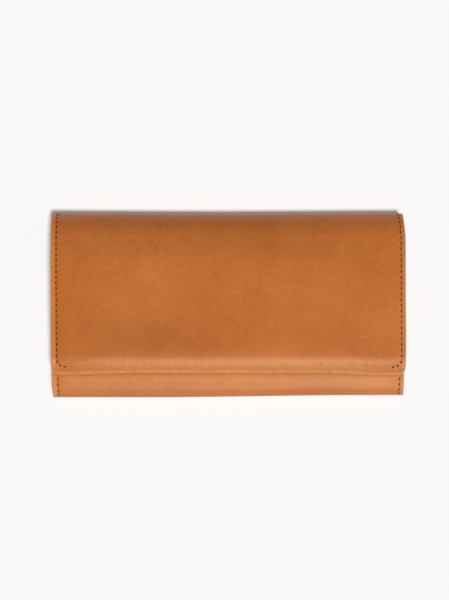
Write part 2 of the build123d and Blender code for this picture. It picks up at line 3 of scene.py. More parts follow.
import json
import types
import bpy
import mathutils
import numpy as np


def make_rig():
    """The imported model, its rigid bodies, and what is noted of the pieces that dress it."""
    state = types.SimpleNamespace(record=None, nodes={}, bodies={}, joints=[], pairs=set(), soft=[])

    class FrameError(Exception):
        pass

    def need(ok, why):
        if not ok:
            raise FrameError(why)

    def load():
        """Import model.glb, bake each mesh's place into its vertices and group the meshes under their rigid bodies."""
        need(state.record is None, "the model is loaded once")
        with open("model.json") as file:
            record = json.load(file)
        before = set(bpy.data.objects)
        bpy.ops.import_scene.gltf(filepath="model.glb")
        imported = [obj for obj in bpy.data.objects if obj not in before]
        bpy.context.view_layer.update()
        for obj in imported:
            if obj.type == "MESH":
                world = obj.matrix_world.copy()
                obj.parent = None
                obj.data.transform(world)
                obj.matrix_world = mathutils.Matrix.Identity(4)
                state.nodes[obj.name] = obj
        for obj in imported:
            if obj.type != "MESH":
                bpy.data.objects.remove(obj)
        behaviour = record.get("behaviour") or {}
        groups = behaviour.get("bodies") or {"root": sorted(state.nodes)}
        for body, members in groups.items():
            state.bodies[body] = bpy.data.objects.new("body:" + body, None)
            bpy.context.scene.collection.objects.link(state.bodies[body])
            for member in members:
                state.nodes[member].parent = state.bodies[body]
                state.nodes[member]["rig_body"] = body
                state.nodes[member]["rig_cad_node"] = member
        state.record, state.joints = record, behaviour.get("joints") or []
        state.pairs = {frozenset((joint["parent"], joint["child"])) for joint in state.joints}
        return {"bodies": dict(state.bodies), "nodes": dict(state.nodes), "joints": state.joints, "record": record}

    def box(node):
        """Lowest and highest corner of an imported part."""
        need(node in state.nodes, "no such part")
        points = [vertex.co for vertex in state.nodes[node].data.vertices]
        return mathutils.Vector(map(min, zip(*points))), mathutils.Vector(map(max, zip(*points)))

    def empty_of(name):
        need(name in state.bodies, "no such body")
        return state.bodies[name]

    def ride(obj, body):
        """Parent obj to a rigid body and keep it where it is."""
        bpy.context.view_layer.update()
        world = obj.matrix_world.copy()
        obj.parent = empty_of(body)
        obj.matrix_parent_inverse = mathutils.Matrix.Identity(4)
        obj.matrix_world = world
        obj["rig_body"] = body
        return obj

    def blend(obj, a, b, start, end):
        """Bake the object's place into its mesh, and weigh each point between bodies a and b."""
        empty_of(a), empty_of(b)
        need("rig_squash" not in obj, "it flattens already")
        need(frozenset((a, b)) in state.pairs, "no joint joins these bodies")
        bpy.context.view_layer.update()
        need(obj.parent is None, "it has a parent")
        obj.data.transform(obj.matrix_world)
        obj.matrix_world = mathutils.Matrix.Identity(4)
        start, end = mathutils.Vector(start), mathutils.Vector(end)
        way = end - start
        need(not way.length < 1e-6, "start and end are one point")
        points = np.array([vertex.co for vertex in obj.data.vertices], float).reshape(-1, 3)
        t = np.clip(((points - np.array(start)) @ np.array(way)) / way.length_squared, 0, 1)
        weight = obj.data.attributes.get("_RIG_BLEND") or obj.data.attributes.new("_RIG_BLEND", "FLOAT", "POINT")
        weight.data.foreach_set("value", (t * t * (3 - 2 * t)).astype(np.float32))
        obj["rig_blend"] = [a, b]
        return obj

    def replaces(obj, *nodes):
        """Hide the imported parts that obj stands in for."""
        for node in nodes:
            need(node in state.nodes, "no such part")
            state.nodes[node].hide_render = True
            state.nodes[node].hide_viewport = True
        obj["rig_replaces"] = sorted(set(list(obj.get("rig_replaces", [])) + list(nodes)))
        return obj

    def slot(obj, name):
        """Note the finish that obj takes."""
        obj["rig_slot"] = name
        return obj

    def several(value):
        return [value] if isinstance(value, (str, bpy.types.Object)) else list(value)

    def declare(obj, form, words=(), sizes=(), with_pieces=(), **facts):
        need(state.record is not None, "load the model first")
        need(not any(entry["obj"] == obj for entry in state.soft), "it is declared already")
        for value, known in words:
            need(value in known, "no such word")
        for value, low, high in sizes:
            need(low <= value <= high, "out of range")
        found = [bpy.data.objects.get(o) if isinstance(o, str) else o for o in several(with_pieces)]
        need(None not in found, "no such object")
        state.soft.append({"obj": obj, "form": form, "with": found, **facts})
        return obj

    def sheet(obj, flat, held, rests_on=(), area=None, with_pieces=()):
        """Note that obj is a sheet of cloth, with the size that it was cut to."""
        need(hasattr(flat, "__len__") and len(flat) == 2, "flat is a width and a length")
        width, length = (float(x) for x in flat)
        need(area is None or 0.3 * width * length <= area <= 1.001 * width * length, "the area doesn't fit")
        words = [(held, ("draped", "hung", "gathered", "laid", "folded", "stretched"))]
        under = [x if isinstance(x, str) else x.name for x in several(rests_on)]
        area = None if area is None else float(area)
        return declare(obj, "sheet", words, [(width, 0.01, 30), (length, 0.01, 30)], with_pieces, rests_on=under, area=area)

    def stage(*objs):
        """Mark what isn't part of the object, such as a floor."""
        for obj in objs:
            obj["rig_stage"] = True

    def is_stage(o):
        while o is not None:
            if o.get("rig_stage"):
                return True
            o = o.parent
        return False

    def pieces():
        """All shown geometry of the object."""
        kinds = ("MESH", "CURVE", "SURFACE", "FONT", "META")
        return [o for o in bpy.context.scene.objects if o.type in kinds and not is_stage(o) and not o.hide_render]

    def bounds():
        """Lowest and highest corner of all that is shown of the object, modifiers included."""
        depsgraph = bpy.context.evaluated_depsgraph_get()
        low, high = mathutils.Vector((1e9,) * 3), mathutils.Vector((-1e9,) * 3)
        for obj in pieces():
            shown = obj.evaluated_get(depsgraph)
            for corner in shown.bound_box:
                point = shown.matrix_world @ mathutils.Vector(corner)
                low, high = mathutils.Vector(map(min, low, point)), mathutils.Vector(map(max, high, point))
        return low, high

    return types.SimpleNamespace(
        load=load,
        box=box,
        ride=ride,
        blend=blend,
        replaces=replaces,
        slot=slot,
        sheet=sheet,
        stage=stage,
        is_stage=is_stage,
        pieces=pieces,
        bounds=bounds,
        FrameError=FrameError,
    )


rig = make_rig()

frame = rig.load()
CAD_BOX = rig.bounds()

import json
import logging
import math
from dataclasses import dataclass, field
from enum import Enum
from typing import Any, Callable, Iterable, Sequence

import bmesh
import bpy
from mathutils import Matrix, Vector, noise

LOG = logging.getLogger("wallet")
MM = 0.001
Colour = tuple[float, float, float]
PointMap = Callable[[float, float, float], Vector]


def smooth(x: float, low: float, high: float) -> float:
    """Rises smoothly from 0 at low to 1 at high."""
    t = min(max((x - low) / (high - low), 0.0), 1.0)
    return t * t * (3 - 2 * t)


def bell(x: float, width: float) -> float:
    """A bell curve, 1 at 0."""
    return math.exp(-((x / width) ** 2))


def spaced(low: float, high: float, step: float) -> list[float]:
    """Evenly spaced numbers from low to high, about step apart."""
    count = max(1, round((high - low) / step))
    return [low + (high - low) * n / count for n in range(count + 1)]


# ---------------------------------------------------------------- the leather's path

class Bend:
    """A chain of straight runs and tangent bends in the YZ plane, with its inside on the left."""

    def __init__(self, start: tuple[float, float], heading: float,
                 moves: Sequence[tuple[float, float]]) -> None:
        """Walks the chain once and keeps where each move starts.

        Args:
            start: the first point (y, z).
            heading: the first direction, in degrees.
            moves: (length, radius) of each move; radius 0 is straight, and above 0 bends left.
        """
        self.starts: list[tuple[float, float, float, float, float]] = []
        (y, z), a, s = start, math.radians(heading), 0.0
        for length, radius in moves:
            self.starts.append((s, y, z, a, radius))
            y, z, a = self._step(y, z, a, radius, length)
            s += length
        self.length = s

    @staticmethod
    def _step(y: float, z: float, a: float, radius: float, length: float) -> tuple[float, float, float]:
        """The point and heading after one move."""
        if radius == 0:
            return y + length * math.cos(a), z + length * math.sin(a), a
        b = a + length / radius
        return y + radius * (math.sin(b) - math.sin(a)), z - radius * (math.cos(b) - math.cos(a)), b

    def at(self, s: float) -> tuple[float, float, float]:
        """The point (y, z) and the heading in radians at arc length s, straight on past either end."""
        row = self.starts[0]
        for candidate in self.starts:
            if candidate[0] > s:
                break
            row = candidate
        s0, y, z, a, radius = row
        if s > self.length or s < 0:
            s_end = self.length if s > self.length else 0.0
            y, z, a = self._step(y, z, a, radius, s_end - s0)
            return self._step(y, z, a, 0.0, s - s_end)
        return self._step(y, z, a, radius, s - s0)

    def place(self, x: float, s: float, depth: float) -> Vector:
        """The point in space that lies x across, s along, and depth inside the strip."""
        y, z, a = self.at(s)
        return Vector((x, y - depth * math.sin(a), z + depth * math.cos(a)))


@dataclass
class Pattern:
    """The outer leather's cutting pattern, in metres, with its box sizes taken from the frame."""

    leather: float = 1.2 * MM
    lining: float = 0.4 * MM
    fold_lining: float = 0.6 * MM
    flap_thickness: float = 2.7 * MM
    bottom_depth: float = 14.5 * MM
    front_slope: float = 5.8
    seam_inset: tuple[float, float] = (3.0 * MM, 2.5 * MM)
    stitch_pitch: float = 3.03 * MM
    flap_level: float = 6.0 * MM
    dome_radius: float = 400.0 * MM
    flap_run: float = 17.4 * MM
    roll_radius: float = 13.0 * MM
    roll_angle: float = 17.0
    tip_run: float = 6.4 * MM
    hem: float = 1.1 * MM
    path: Bend = field(init=False)

    def __post_init__(self) -> None:
        """Works out the path and the arc lengths of its landmarks."""
        _, flap_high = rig.box("flap_shell")
        back_low, back_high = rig.box("back_shell")
        _, front_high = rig.box("front_shell")
        _, spine_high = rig.box("spine_shell_lower")
        self.half = flap_high.x
        self.back_half = back_high.x
        self.front_half = front_high.x
        half_height = spine_high.y
        depth = flap_high.z
        self.fold_radius = depth / 2
        self.bottom_radius = self.bottom_depth / 2
        self.fold_y = half_height - self.fold_radius
        self.bottom_y = back_low.y + self.bottom_radius
        slope = math.radians(self.front_slope)
        tangent = Vector((self.bottom_y - self.bottom_radius * math.sin(slope),
                          self.bottom_radius * (1 + math.cos(slope))))
        self.front_run = (front_high.y - tangent.x) / math.cos(slope)
        self.mouth_y = front_high.y
        mouth = (self.mouth_y, tangent.y + self.front_run * math.sin(slope))
        moves = [
            (self.front_run, 0.0),
            (self.bottom_radius * (math.pi - slope), self.bottom_radius),
            (self.fold_y - self.bottom_y, 0.0),
            (self.fold_radius * math.pi, self.fold_radius),
            (self.flap_level, 0.0),
            (self.dome_radius * slope, self.dome_radius),
            (self.flap_run, 0.0),
            (self.roll_radius * math.radians(self.roll_angle), self.roll_radius),
            (self.tip_run, 0.0),
        ]
        self.path = Bend(mouth, 180 + self.front_slope, moves)
        self.s_back = self.front_run + moves[1][0]
        self.s_bottom = self.front_run + self.bottom_radius * (math.pi / 2 - slope)
        self.s_fold = self.s_back + moves[2][0]
        self.s_flap = self.s_fold + moves[3][0]
        self.s_tip = self.path.length + self.hem

    def s_on_fold(self, degrees: float) -> float:
        """The arc length at an angle round the top fold, 0 at the back panel and 180 at the flap."""
        return self.s_fold + self.fold_radius * math.radians(degrees)

    def at_fold(self, degrees: float) -> Vector:
        """The point on the grain side at an angle round the top fold."""
        return self.path.place(0.0, self.s_on_fold(degrees), 0.0)


def settle(point: Vector, pattern: Pattern) -> Vector:
    """Moves a point of the outer leather by the small unevenness that hand work leaves.

    Args:
        point: the point on the regular shape.
        pattern: the pattern it belongs to.

    Returns:
        The point on the settled wallet.
    """
    x, y, z = point
    half = pattern.half
    side = x / half
    out_right = smooth(side, 0.2, 1.0)
    out_left = smooth(-side, 0.2, 1.0)
    upper = smooth(y, 36 * MM, 50 * MM)
    x -= out_right * (0.9 * MM * upper - 0.5 * MM * bell(y + 24 * MM, 20 * MM))
    low = smooth(-y, 36 * MM, 49 * MM)
    x += low * (out_right * 0.2 * MM - out_left * 0.1 * MM) - out_left * 0.45 * MM * bell(y + 41 * MM, 7 * MM)
    near_bottom = smooth(-y, 40 * MM, 49 * MM)
    y += near_bottom * (1.15 * MM * smooth(side, -0.45, 0.75) - 0.7 * MM)
    near_top = smooth(y, 40 * MM, 49 * MM)
    y -= near_top * (0.55 * MM * bell(side + 0.05, 0.75) - 0.4 * MM)
    if z > pattern.fold_radius:
        slack = min(max((y - 22 * MM) / (22.7 * MM), 0.0), 1.15) ** 1.6
        z = pattern.fold_radius + (z - pattern.fold_radius) * (1 - 0.25 * slack)
    if z > pattern.bottom_radius:
        slack = min(max((-y - 31 * MM) / (13 * MM), 0.0), 1.3) ** 1.6
        z = pattern.bottom_radius + (z - pattern.bottom_radius) * (1 - 0.30 * slack)
    wave = noise.noise(Vector((x * 18, y * 30, 4.2)))
    z += wave * 0.35 * MM * smooth(z, 12 * MM, 20 * MM)
    return Vector((x, y, z))


# ---------------------------------------------------------------- shaders

class Value:
    """A number socket that takes part in Python expressions."""

    def __init__(self, graph: "Graph", socket: Any) -> None:
        """Wraps one socket or a plain number."""
        self.graph, self.socket = graph, socket

    def _math(self, operation: str, *operands: Any, clamp: bool = False) -> "Value":
        """Adds one Math node."""
        settings = {"operation": operation, "use_clamp": clamp}
        return self.graph.node("ShaderNodeMath", settings, dict(enumerate(operands)))[0]

    def __add__(self, other: Any) -> "Value":
        """self + other."""
        return self._math("ADD", self, other)

    __radd__ = __add__

    def __mul__(self, other: Any) -> "Value":
        """self * other."""
        return self._math("MULTIPLY", self, other)

    __rmul__ = __mul__

    def __sub__(self, other: Any) -> "Value":
        """self - other."""
        return self._math("SUBTRACT", self, other)

    def __rsub__(self, other: Any) -> "Value":
        """other - self."""
        return self._math("SUBTRACT", other, self)

    def __truediv__(self, other: Any) -> "Value":
        """self / other."""
        return self._math("DIVIDE", self, other)

    def __pow__(self, other: Any) -> "Value":
        """self to the power of other."""
        return self._math("POWER", self, other)

    def clamped(self) -> "Value":
        """The value kept from 0 to 1."""
        return self._math("ADD", self, 0.0, clamp=True)

    def above(self, edge: float, soft: float) -> "Value":
        """0 below edge, rising smoothly to 1 over soft."""
        settings = {"interpolation_type": "SMOOTHSTEP"}
        return self.graph.node("ShaderNodeMapRange", settings,
                               {0: self, 1: edge, 2: edge + soft, 3: 0.0, 4: 1.0})[0]

    def wave(self) -> "Value":
        """The sine of the value."""
        return self._math("SINE", self)


class Graph:
    """One material's node tree, with a Principled shader to feed."""

    def __init__(self, name: str) -> None:
        """Makes the material and its shader."""
        self.material = bpy.data.materials.new(name)
        self.material.use_nodes = True
        self.tree = self.material.node_tree
        self.tree.nodes.clear()
        self.output = self.tree.nodes.new("ShaderNodeOutputMaterial")
        self.shader = self.tree.nodes.new("ShaderNodeBsdfPrincipled")
        self.tree.links.new(self.shader.outputs[0], self.output.inputs[0])

    def node(self, kind: str, settings: dict[str, Any], inputs: dict[Any, Any]) -> list[Value]:
        """Adds a node.

        Args:
            kind: the node's type.
            settings: its properties, set first.
            inputs: each socket's value or link, by name or number.

        Returns:
            Its outputs that are in use, in order.
        """
        made = self.tree.nodes.new(kind)
        for key, setting in settings.items():
            setattr(made, key, setting)
        for key, given in inputs.items():
            self.feed(made.inputs[key], given)
        return [Value(self, out) for out in made.outputs if out.enabled]

    def feed(self, socket: Any, given: Any) -> None:
        """Links a value to a socket, or sets the socket."""
        if isinstance(given, Value):
            self.tree.links.new(given.socket, socket)
        elif isinstance(given, tuple) and len(given) == 3 and socket.type == "RGBA":
            socket.default_value = (*given, 1.0)
        else:
            socket.default_value = given

    def mix(self, factor: Any, low: Any, high: Any, blend: str = "MIX") -> Value:
        """Mixes two colours."""
        settings = {"data_type": "RGBA", "blend_type": blend}
        made = self.tree.nodes.new("ShaderNodeMix")
        for key, setting in settings.items():
            setattr(made, key, setting)
        for key, given in ((0, factor), (6, low), (7, high)):
            self.feed(made.inputs[key], given)
        return Value(self, made.outputs[2])

    def scaled(self, vector: Value, factors: tuple[float, float, float]) -> Value:
        """A vector times three factors."""
        return self.node("ShaderNodeVectorMath", {"operation": "MULTIPLY"}, {0: vector, 1: factors})[0]

    def noise(self, vector: Value, scale: float, detail: float = 3.0, rough: float = 0.5) -> Value:
        """Cloud noise from about 0.25 to 0.75."""
        inputs = {"Vector": vector, "Scale": scale, "Detail": detail, "Roughness": rough}
        return self.node("ShaderNodeTexNoise", {}, inputs)[0]

    def cells(self, vector: Value, scale: float) -> Value:
        """The distance to the nearest cell centre."""
        return self.node("ShaderNodeTexVoronoi", {}, {"Vector": vector, "Scale": scale})[0]

    def attribute(self, name: str, vector: bool = False) -> Value:
        """A named attribute of the mesh, as a number or a vector."""
        outputs = self.node("ShaderNodeAttribute", {"attribute_name": name}, {})
        return outputs[1] if vector else outputs[2]

    def object_place(self) -> Value:
        """The place in the object's own frame."""
        made = self.tree.nodes.new("ShaderNodeTexCoord")
        return Value(self, made.outputs["Object"])

    def bump(self, height: Value, strength: float, distance: float) -> Value:
        """A normal bent by a height."""
        inputs = {"Strength": strength, "Distance": distance, "Height": height}
        return self.node("ShaderNodeBump", {}, inputs)[0]

    def dress(self, **sockets: Any) -> bpy.types.Material:
        """Feeds the shader's sockets, named with underscores for spaces.

        Returns:
            The finished material.
        """
        for key, given in sockets.items():
            self.feed(self.shader.inputs[key.replace("_", " ")], given)
        return self.material


# ---------------------------------------------------------------- finishes

@dataclass(frozen=True)
class PullUpLeather:
    """Waxed cowhide: cloudy colour that goes pale where the hide is bent and worn, with painted highlight and painted
    reflection laid on the same paling, painted shade and darker patches, a fine grain and a few scuffs.
    """

    name: str
    deep: Colour = (0.328, 0.080, 0.012)
    body: Colour = (0.415, 0.115, 0.020)
    light: Colour = (0.472, 0.148, 0.031)
    pale: Colour = (0.548, 0.256, 0.080)
    roughness: float = 0.40

    def make(self) -> bpy.types.Material:
        """Builds the material."""
        g = Graph(self.name)
        place = g.scaled(g.attribute("strip", vector=True), (1000.0, 1000.0, 1000.0))
        clouds = g.noise(place, 0.021, 2.0, 0.45)
        patches = g.noise(place, 0.07, 3.0, 0.55)
        mottle = g.noise(place, 0.45, 4.0, 0.6)
        speckle = g.noise(place, 1.5, 3.0, 0.7)
        tone = (clouds * 1.5 + patches * 0.9 + mottle * 0.5 - 0.95).clamped()
        colour = g.mix(tone, self.deep, self.light)
        colour = g.mix(0.22, colour, self.body)
        colour = g.mix(((speckle - 0.5) * 1.8 + (mottle - 0.5) * 0.8 + 0.30).clamped(), colour, self.light)
        # Pales the hide by the wear mask: real wear and pull-up paling at bends and margins, with painted highlight
        # and painted reflection laid on the same mask.
        wear = g.attribute("wear")
        streaks = g.noise(g.scaled(place, (1.1, 0.12, 1.0)), 0.9, 3.0, 0.6)
        pale = (wear * (0.62 + (streaks - 0.5) * 1.5 + (mottle - 0.5) * 0.9)).clamped()
        colour = g.mix(pale, colour, self.pale)
        scratch_place = g.scaled(place, (0.35, 1.4, 1.0))
        scuffs = g.noise(scratch_place, 0.55, 2.0, 0.75).above(0.67, 0.08) * patches.above(0.42, 0.2)
        colour = g.mix(scuffs * 0.45, colour, self.pale)
        # Painted shade: needle holes and the painted shadow under the flap's tip, with the flap's darker patches.
        dark = g.attribute("shade")
        colour = g.mix(dark, colour, (0.17, 0.045, 0.012))
        pores = g.cells(place, 1.7)
        grain = g.noise(place, 1.1, 5.0, 0.62)
        creases = g.noise(g.scaled(place, (0.5, 1.2, 1.0)), 0.22, 4.0, 0.55)
        height = pores * 0.35 + grain * 0.9 + creases * 1.6 + speckle * 0.3
        rough = (self.roughness + (mottle - 0.5) * 0.25 - wear * 0.04).clamped()
        return g.dress(Base_Color=colour, Roughness=rough, Normal=g.bump(height, 0.35, 0.00016),
                       Specular_IOR_Level=0.5)


@dataclass(frozen=True)
class PlainLeather:
    """Thin inner leather: matt, with a soft cloud of tone and a printed grain."""

    name: str
    dark: Colour
    light: Colour
    roughness: float = 0.62

    def make(self) -> bpy.types.Material:
        """Builds the material."""
        g = Graph(self.name)
        place = g.scaled(g.object_place(), (1000.0, 1000.0, 1000.0))
        clouds = g.noise(place, 0.06, 3.0, 0.5)
        fine = g.noise(place, 1.6, 4.0, 0.6)
        colour = g.mix((clouds * 1.3 + fine * 0.5 - 0.4).clamped(), self.dark, self.light)
        height = g.cells(place, 1.3) * 0.6 + fine
        rough = (self.roughness + (fine - 0.5) * 0.2).clamped()
        return g.dress(Base_Color=colour, Roughness=rough, Normal=g.bump(height, 0.4, 0.00015))


@dataclass(frozen=True)
class Woven:
    """Twill or tape: crossing yarns drawn from two waves, with a little fuzz."""

    name: str
    dark: Colour
    light: Colour
    yarns_per_mm: float = 1.6
    slant: float = 0.7

    def make(self) -> bpy.types.Material:
        """Builds the material."""
        g = Graph(self.name)
        place = g.scaled(g.object_place(), (1000.0, 1000.0, 1000.0))
        parts = g.node("ShaderNodeSeparateXYZ", {}, {0: place})
        turn = 2 * math.pi * self.yarns_per_mm
        warp = ((parts[0] + parts[1] * self.slant) * turn).wave() * 0.5 + 0.5
        weft = ((parts[1] - parts[0] * self.slant * 0.4) * turn).wave() * 0.5 + 0.5
        fuzz = g.noise(place, 1.2, 4.0, 0.6)
        weave = warp * 0.65 + weft * 0.35
        colour = g.mix((weave * 0.7 + fuzz * 0.6 - 0.25).clamped(), self.dark, self.light)
        height = weave + fuzz * 0.4
        return g.dress(Base_Color=colour, Roughness=0.85, Normal=g.bump(height, 0.5, 0.0002),
                       Sheen_Weight=0.2)


@dataclass(frozen=True)
class WaxedThread:
    """Dark waxed thread: fibres along it, dusty on top."""

    name: str
    dark: Colour = (0.050, 0.009, 0.003)
    light: Colour = (0.13, 0.028, 0.008)

    def make(self) -> bpy.types.Material:
        """Builds the material."""
        g = Graph(self.name)
        place = g.scaled(g.object_place(), (1000.0, 1000.0, 1000.0))
        fibre = g.noise(g.scaled(place, (6.0, 1.5, 6.0)), 1.0, 3.0, 0.6)
        colour = g.mix(fibre.above(0.4, 0.35), self.dark, self.light)
        return g.dress(Base_Color=colour, Roughness=0.6, Normal=g.bump(fibre, 0.5, 0.0001),
                       Specular_IOR_Level=0.2)


@dataclass(frozen=True)
class WornMetal:
    """Plated brass or steel: fine brushing, with darker tarnish in clouds."""

    name: str
    bright: Colour
    tarnish: Colour
    roughness: float = 0.28

    def make(self) -> bpy.types.Material:
        """Builds the material."""
        g = Graph(self.name)
        place = g.scaled(g.object_place(), (1000.0, 1000.0, 1000.0))
        clouds = g.noise(place, 0.5, 4.0, 0.6)
        brushing = g.noise(g.scaled(place, (0.4, 6.0, 6.0)), 1.0, 3.0, 0.6)
        colour = g.mix(clouds.above(0.45, 0.25) * 0.6, self.bright, self.tarnish)
        rough = (self.roughness + (brushing - 0.5) * 0.3 + (clouds - 0.5) * 0.2).clamped()
        return g.dress(Base_Color=colour, Metallic=1.0, Roughness=rough,
                       Normal=g.bump(brushing, 0.15, 0.0001))


@dataclass(frozen=True)
class DullSolid:
    """Board or sintered magnet: a dull body colour with a fine fleck."""

    name: str
    dark: Colour
    light: Colour
    roughness: float = 0.8

    def make(self) -> bpy.types.Material:
        """Builds the material."""
        g = Graph(self.name)
        place = g.scaled(g.object_place(), (1000.0, 1000.0, 1000.0))
        fleck = g.noise(place, 2.5, 4.0, 0.7)
        colour = g.mix(fleck.above(0.35, 0.35), self.dark, self.light)
        return g.dress(Base_Color=colour, Roughness=self.roughness, Normal=g.bump(fleck, 0.4, 0.0001))


class Finish(Enum):
    """The wallet's finishes, each with the record's slot that it belongs to."""

    TAN = ("tan_leather", PullUpLeather("tan_pull_up"))
    INNER = ("inner_leather", PlainLeather("inner_tan", (0.27, 0.078, 0.023), (0.42, 0.14, 0.048)))
    TWILL = ("twill", Woven("brown_twill", (0.10, 0.052, 0.026), (0.30, 0.18, 0.10)))
    TAPE = ("zip_tape", Woven("zip_tape_weave", (0.06, 0.026, 0.012), (0.20, 0.095, 0.045), 1.9, 0.05))
    THREAD = ("thread", WaxedThread("dark_thread"))
    BRASS = ("zip_metal", WornMetal("antique_zip_brass", (0.60, 0.40, 0.17), (0.20, 0.12, 0.05), 0.33))
    SNAP = ("snap_metal", WornMetal("snap_plate", (0.66, 0.47, 0.22), (0.26, 0.17, 0.08), 0.22))
    BOARD = ("stiffener_board", DullSolid("stiff_board", (0.42, 0.38, 0.32), (0.60, 0.56, 0.48)))
    MAGNET = ("magnet", DullSolid("dark_magnet", (0.02, 0.02, 0.022), (0.06, 0.06, 0.065), 0.6))


class Wardrobe:
    """Makes each finish once and dresses pieces in it."""

    def __init__(self) -> None:
        """Starts with no materials made."""
        self.made: dict[Finish, bpy.types.Material] = {}

    def material(self, finish: Finish) -> bpy.types.Material:
        """The finish's material, made when first asked for."""
        if finish not in self.made:
            self.made[finish] = finish.value[1].make()
        return self.made[finish]

    def dress(self, piece: bpy.types.Object, finish: Finish) -> None:
        """Gives a new piece its material and its slot."""
        piece.data.materials.clear()
        piece.data.materials.append(self.material(finish))
        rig.slot(piece, finish.value[0])

    def dress_node(self, node: str, finish: Finish) -> None:
        """Gives a carried-over CAD node its material."""
        piece = frame["nodes"][node]
        material = self.material(finish)
        if not piece.material_slots:
            piece.data.materials.append(material)
        for place in piece.material_slots:
            place.material = material
        LOG.info("dressed %s", node)


# ---------------------------------------------------------------- sheets of leather and cloth

def piece_from(mesh: bmesh.types.BMesh, name: str, shade_smooth: bool = True) -> bpy.types.Object:
    """Makes an object of a finished bmesh.

    Args:
        mesh: the bmesh, which is freed.
        name: the piece's name.
        shade_smooth: whether its faces are smooth shaded.

    Returns:
        The new object, linked to the scene.
    """
    data = bpy.data.meshes.new(name)
    mesh.to_mesh(data)
    mesh.free()
    data.shade_smooth() if shade_smooth else data.shade_flat()
    piece = bpy.data.objects.new(name, data)
    bpy.context.scene.collection.objects.link(piece)
    LOG.info("made %s with %d faces", name, len(data.polygons))
    return piece


@dataclass
class Relief:
    """How a point of a sheet is raised and marked: the lift that a maker's hands and needle leave in it, its wear with
    painted highlight and painted reflection, and its painted shade and darker patches.
    """

    lift: Callable[[float, float], float] = lambda x, s: 0.0
    # Wear and pull-up paling, with painted highlight and painted reflection where the light falls on bends and edges.
    wear: Callable[[float, float], float] = lambda x, s: 0.0
    # Painted shade in needle holes and under the flap's tip, with darker patches.
    shade: Callable[[float, float], float] = lambda x, s: 0.0


@dataclass
class Sheet:
    """A closed sheet, cut flat, given round edges, and then laid along a path.

    Attributes:
        name: the piece's name.
        columns: the places across, from one side edge to the other, for a half width of 1.
        rows: the arc lengths of its rows.
        top: the depth of the outer face inside the path.
        thickness: the sheet's thickness.
        half: the half width at an arc length.
        edge_round: how far from each side edge the thickness starts to round off.
        end_round: the same at the first and the last row.
        corner: the plan radius at the last row's corners.
        relief: what raises its faces, and the wear, painted highlight and painted shade that colour them.
    """

    name: str
    columns: list[float]
    rows: list[float]
    top: float
    thickness: float
    half: Callable[[float], float]
    edge_round: float = 0.35 * MM
    end_round: tuple[float, float] = (0.0, 0.0)
    corner: float = 0.0
    relief: Relief = field(default_factory=Relief)

    def __post_init__(self) -> None:
        """Adds a row close to each plain end, so that the face is evenly lit right up to it."""
        first, last = self.rows[0], self.rows[-1]
        if self.end_round[0] == 0:
            self.rows = [first, first + 0.05 * MM] + self.rows[1:]
        if self.end_round[1] == 0:
            self.rows = self.rows[:-1] + [last - 0.05 * MM, last]

    def half_at(self, s: float) -> float:
        """The half width at an arc length, drawn in round the last corners."""
        width, beyond = self.half(s), s - (self.rows[-1] - self.corner)
        if self.corner == 0.0 or beyond <= 0:
            return width
        return width - self.corner + math.sqrt(max(self.corner ** 2 - beyond ** 2, 0.0))

    def thin(self, x: float, s: float) -> float:
        """The share of the full thickness at a place: below 1 within reach of an edge."""
        share = 1.0
        for distance, reach in (
            (self.half_at(s) - abs(x), self.edge_round),
            (s - self.rows[0], self.end_round[0]),
            (self.rows[-1] - s, self.end_round[1]),
        ):
            if reach > 0 and distance < reach:
                inside = 1 - max(distance, 0.0) / reach
                share = min(share, math.sqrt(max(1 - inside ** 2.4, 0.0)))
        if self.corner and s > self.rows[-1] - self.corner:
            centre_x = self.half(s) - self.corner
            radial = Vector((max(abs(x) - centre_x, 0.0), s - self.rows[-1] + self.corner)).length
            reach = max(self.end_round[1], self.edge_round)
            inside = 1 - max(self.corner - radial, 0.0) / reach
            if inside > 0 and abs(x) > centre_x:
                blend = smooth(s, self.rows[-1] - self.corner, self.rows[-1])
                share = min(share, 1 - blend + blend * math.sqrt(max(1 - inside ** 2.4, 0.0)))
        return max(share, 0.12)

    def build(self, place: PointMap) -> bpy.types.Object:
        """Makes the sheet.

        Args:
            place: takes x, s and depth to a point in space.

        Returns:
            The new piece.
        """
        mesh = bmesh.new()
        across, along = len(self.columns) - 1, len(self.rows) - 1
        bmesh.ops.create_grid(mesh, x_segments=across, y_segments=along, size=0.5)
        for vertex in mesh.verts:
            column = self.columns[round((vertex.co.x + 0.5) * across)]
            s = self.rows[round((vertex.co.y + 0.5) * along)]
            vertex.co = Vector((column * self.half_at(s), s, 0.0))
        bmesh.ops.solidify(mesh, geom=mesh.faces[:], thickness=1.0)
        low = min(vertex.co.z for vertex in mesh.verts)
        inside = [vertex.co.z - low for vertex in mesh.verts]
        span = max(inside)
        strip = mesh.verts.layers.float_vector.new("strip")
        # Colour masks: wear with painted highlight and painted reflection, and painted shade with darker patches.
        wear = mesh.verts.layers.float.new("wear")
        shade = mesh.verts.layers.float.new("shade")
        for vertex, height in zip(mesh.verts, inside):
            x, s = vertex.co.x, vertex.co.y
            outer = height / span
            share = self.thin(x, s)
            depth = self.top + self.thickness * (0.5 + (0.5 - outer) * share)
            depth -= self.relief.lift(x, s) * outer
            vertex[strip] = Vector((x, s, depth))
            vertex[wear] = self.relief.wear(x, s) * outer
            vertex[shade] = self.relief.shade(x, s) * outer
            vertex.co = place(x, s, depth)
        bmesh.ops.recalc_face_normals(mesh, faces=mesh.faces[:])
        return piece_from(mesh, self.name)


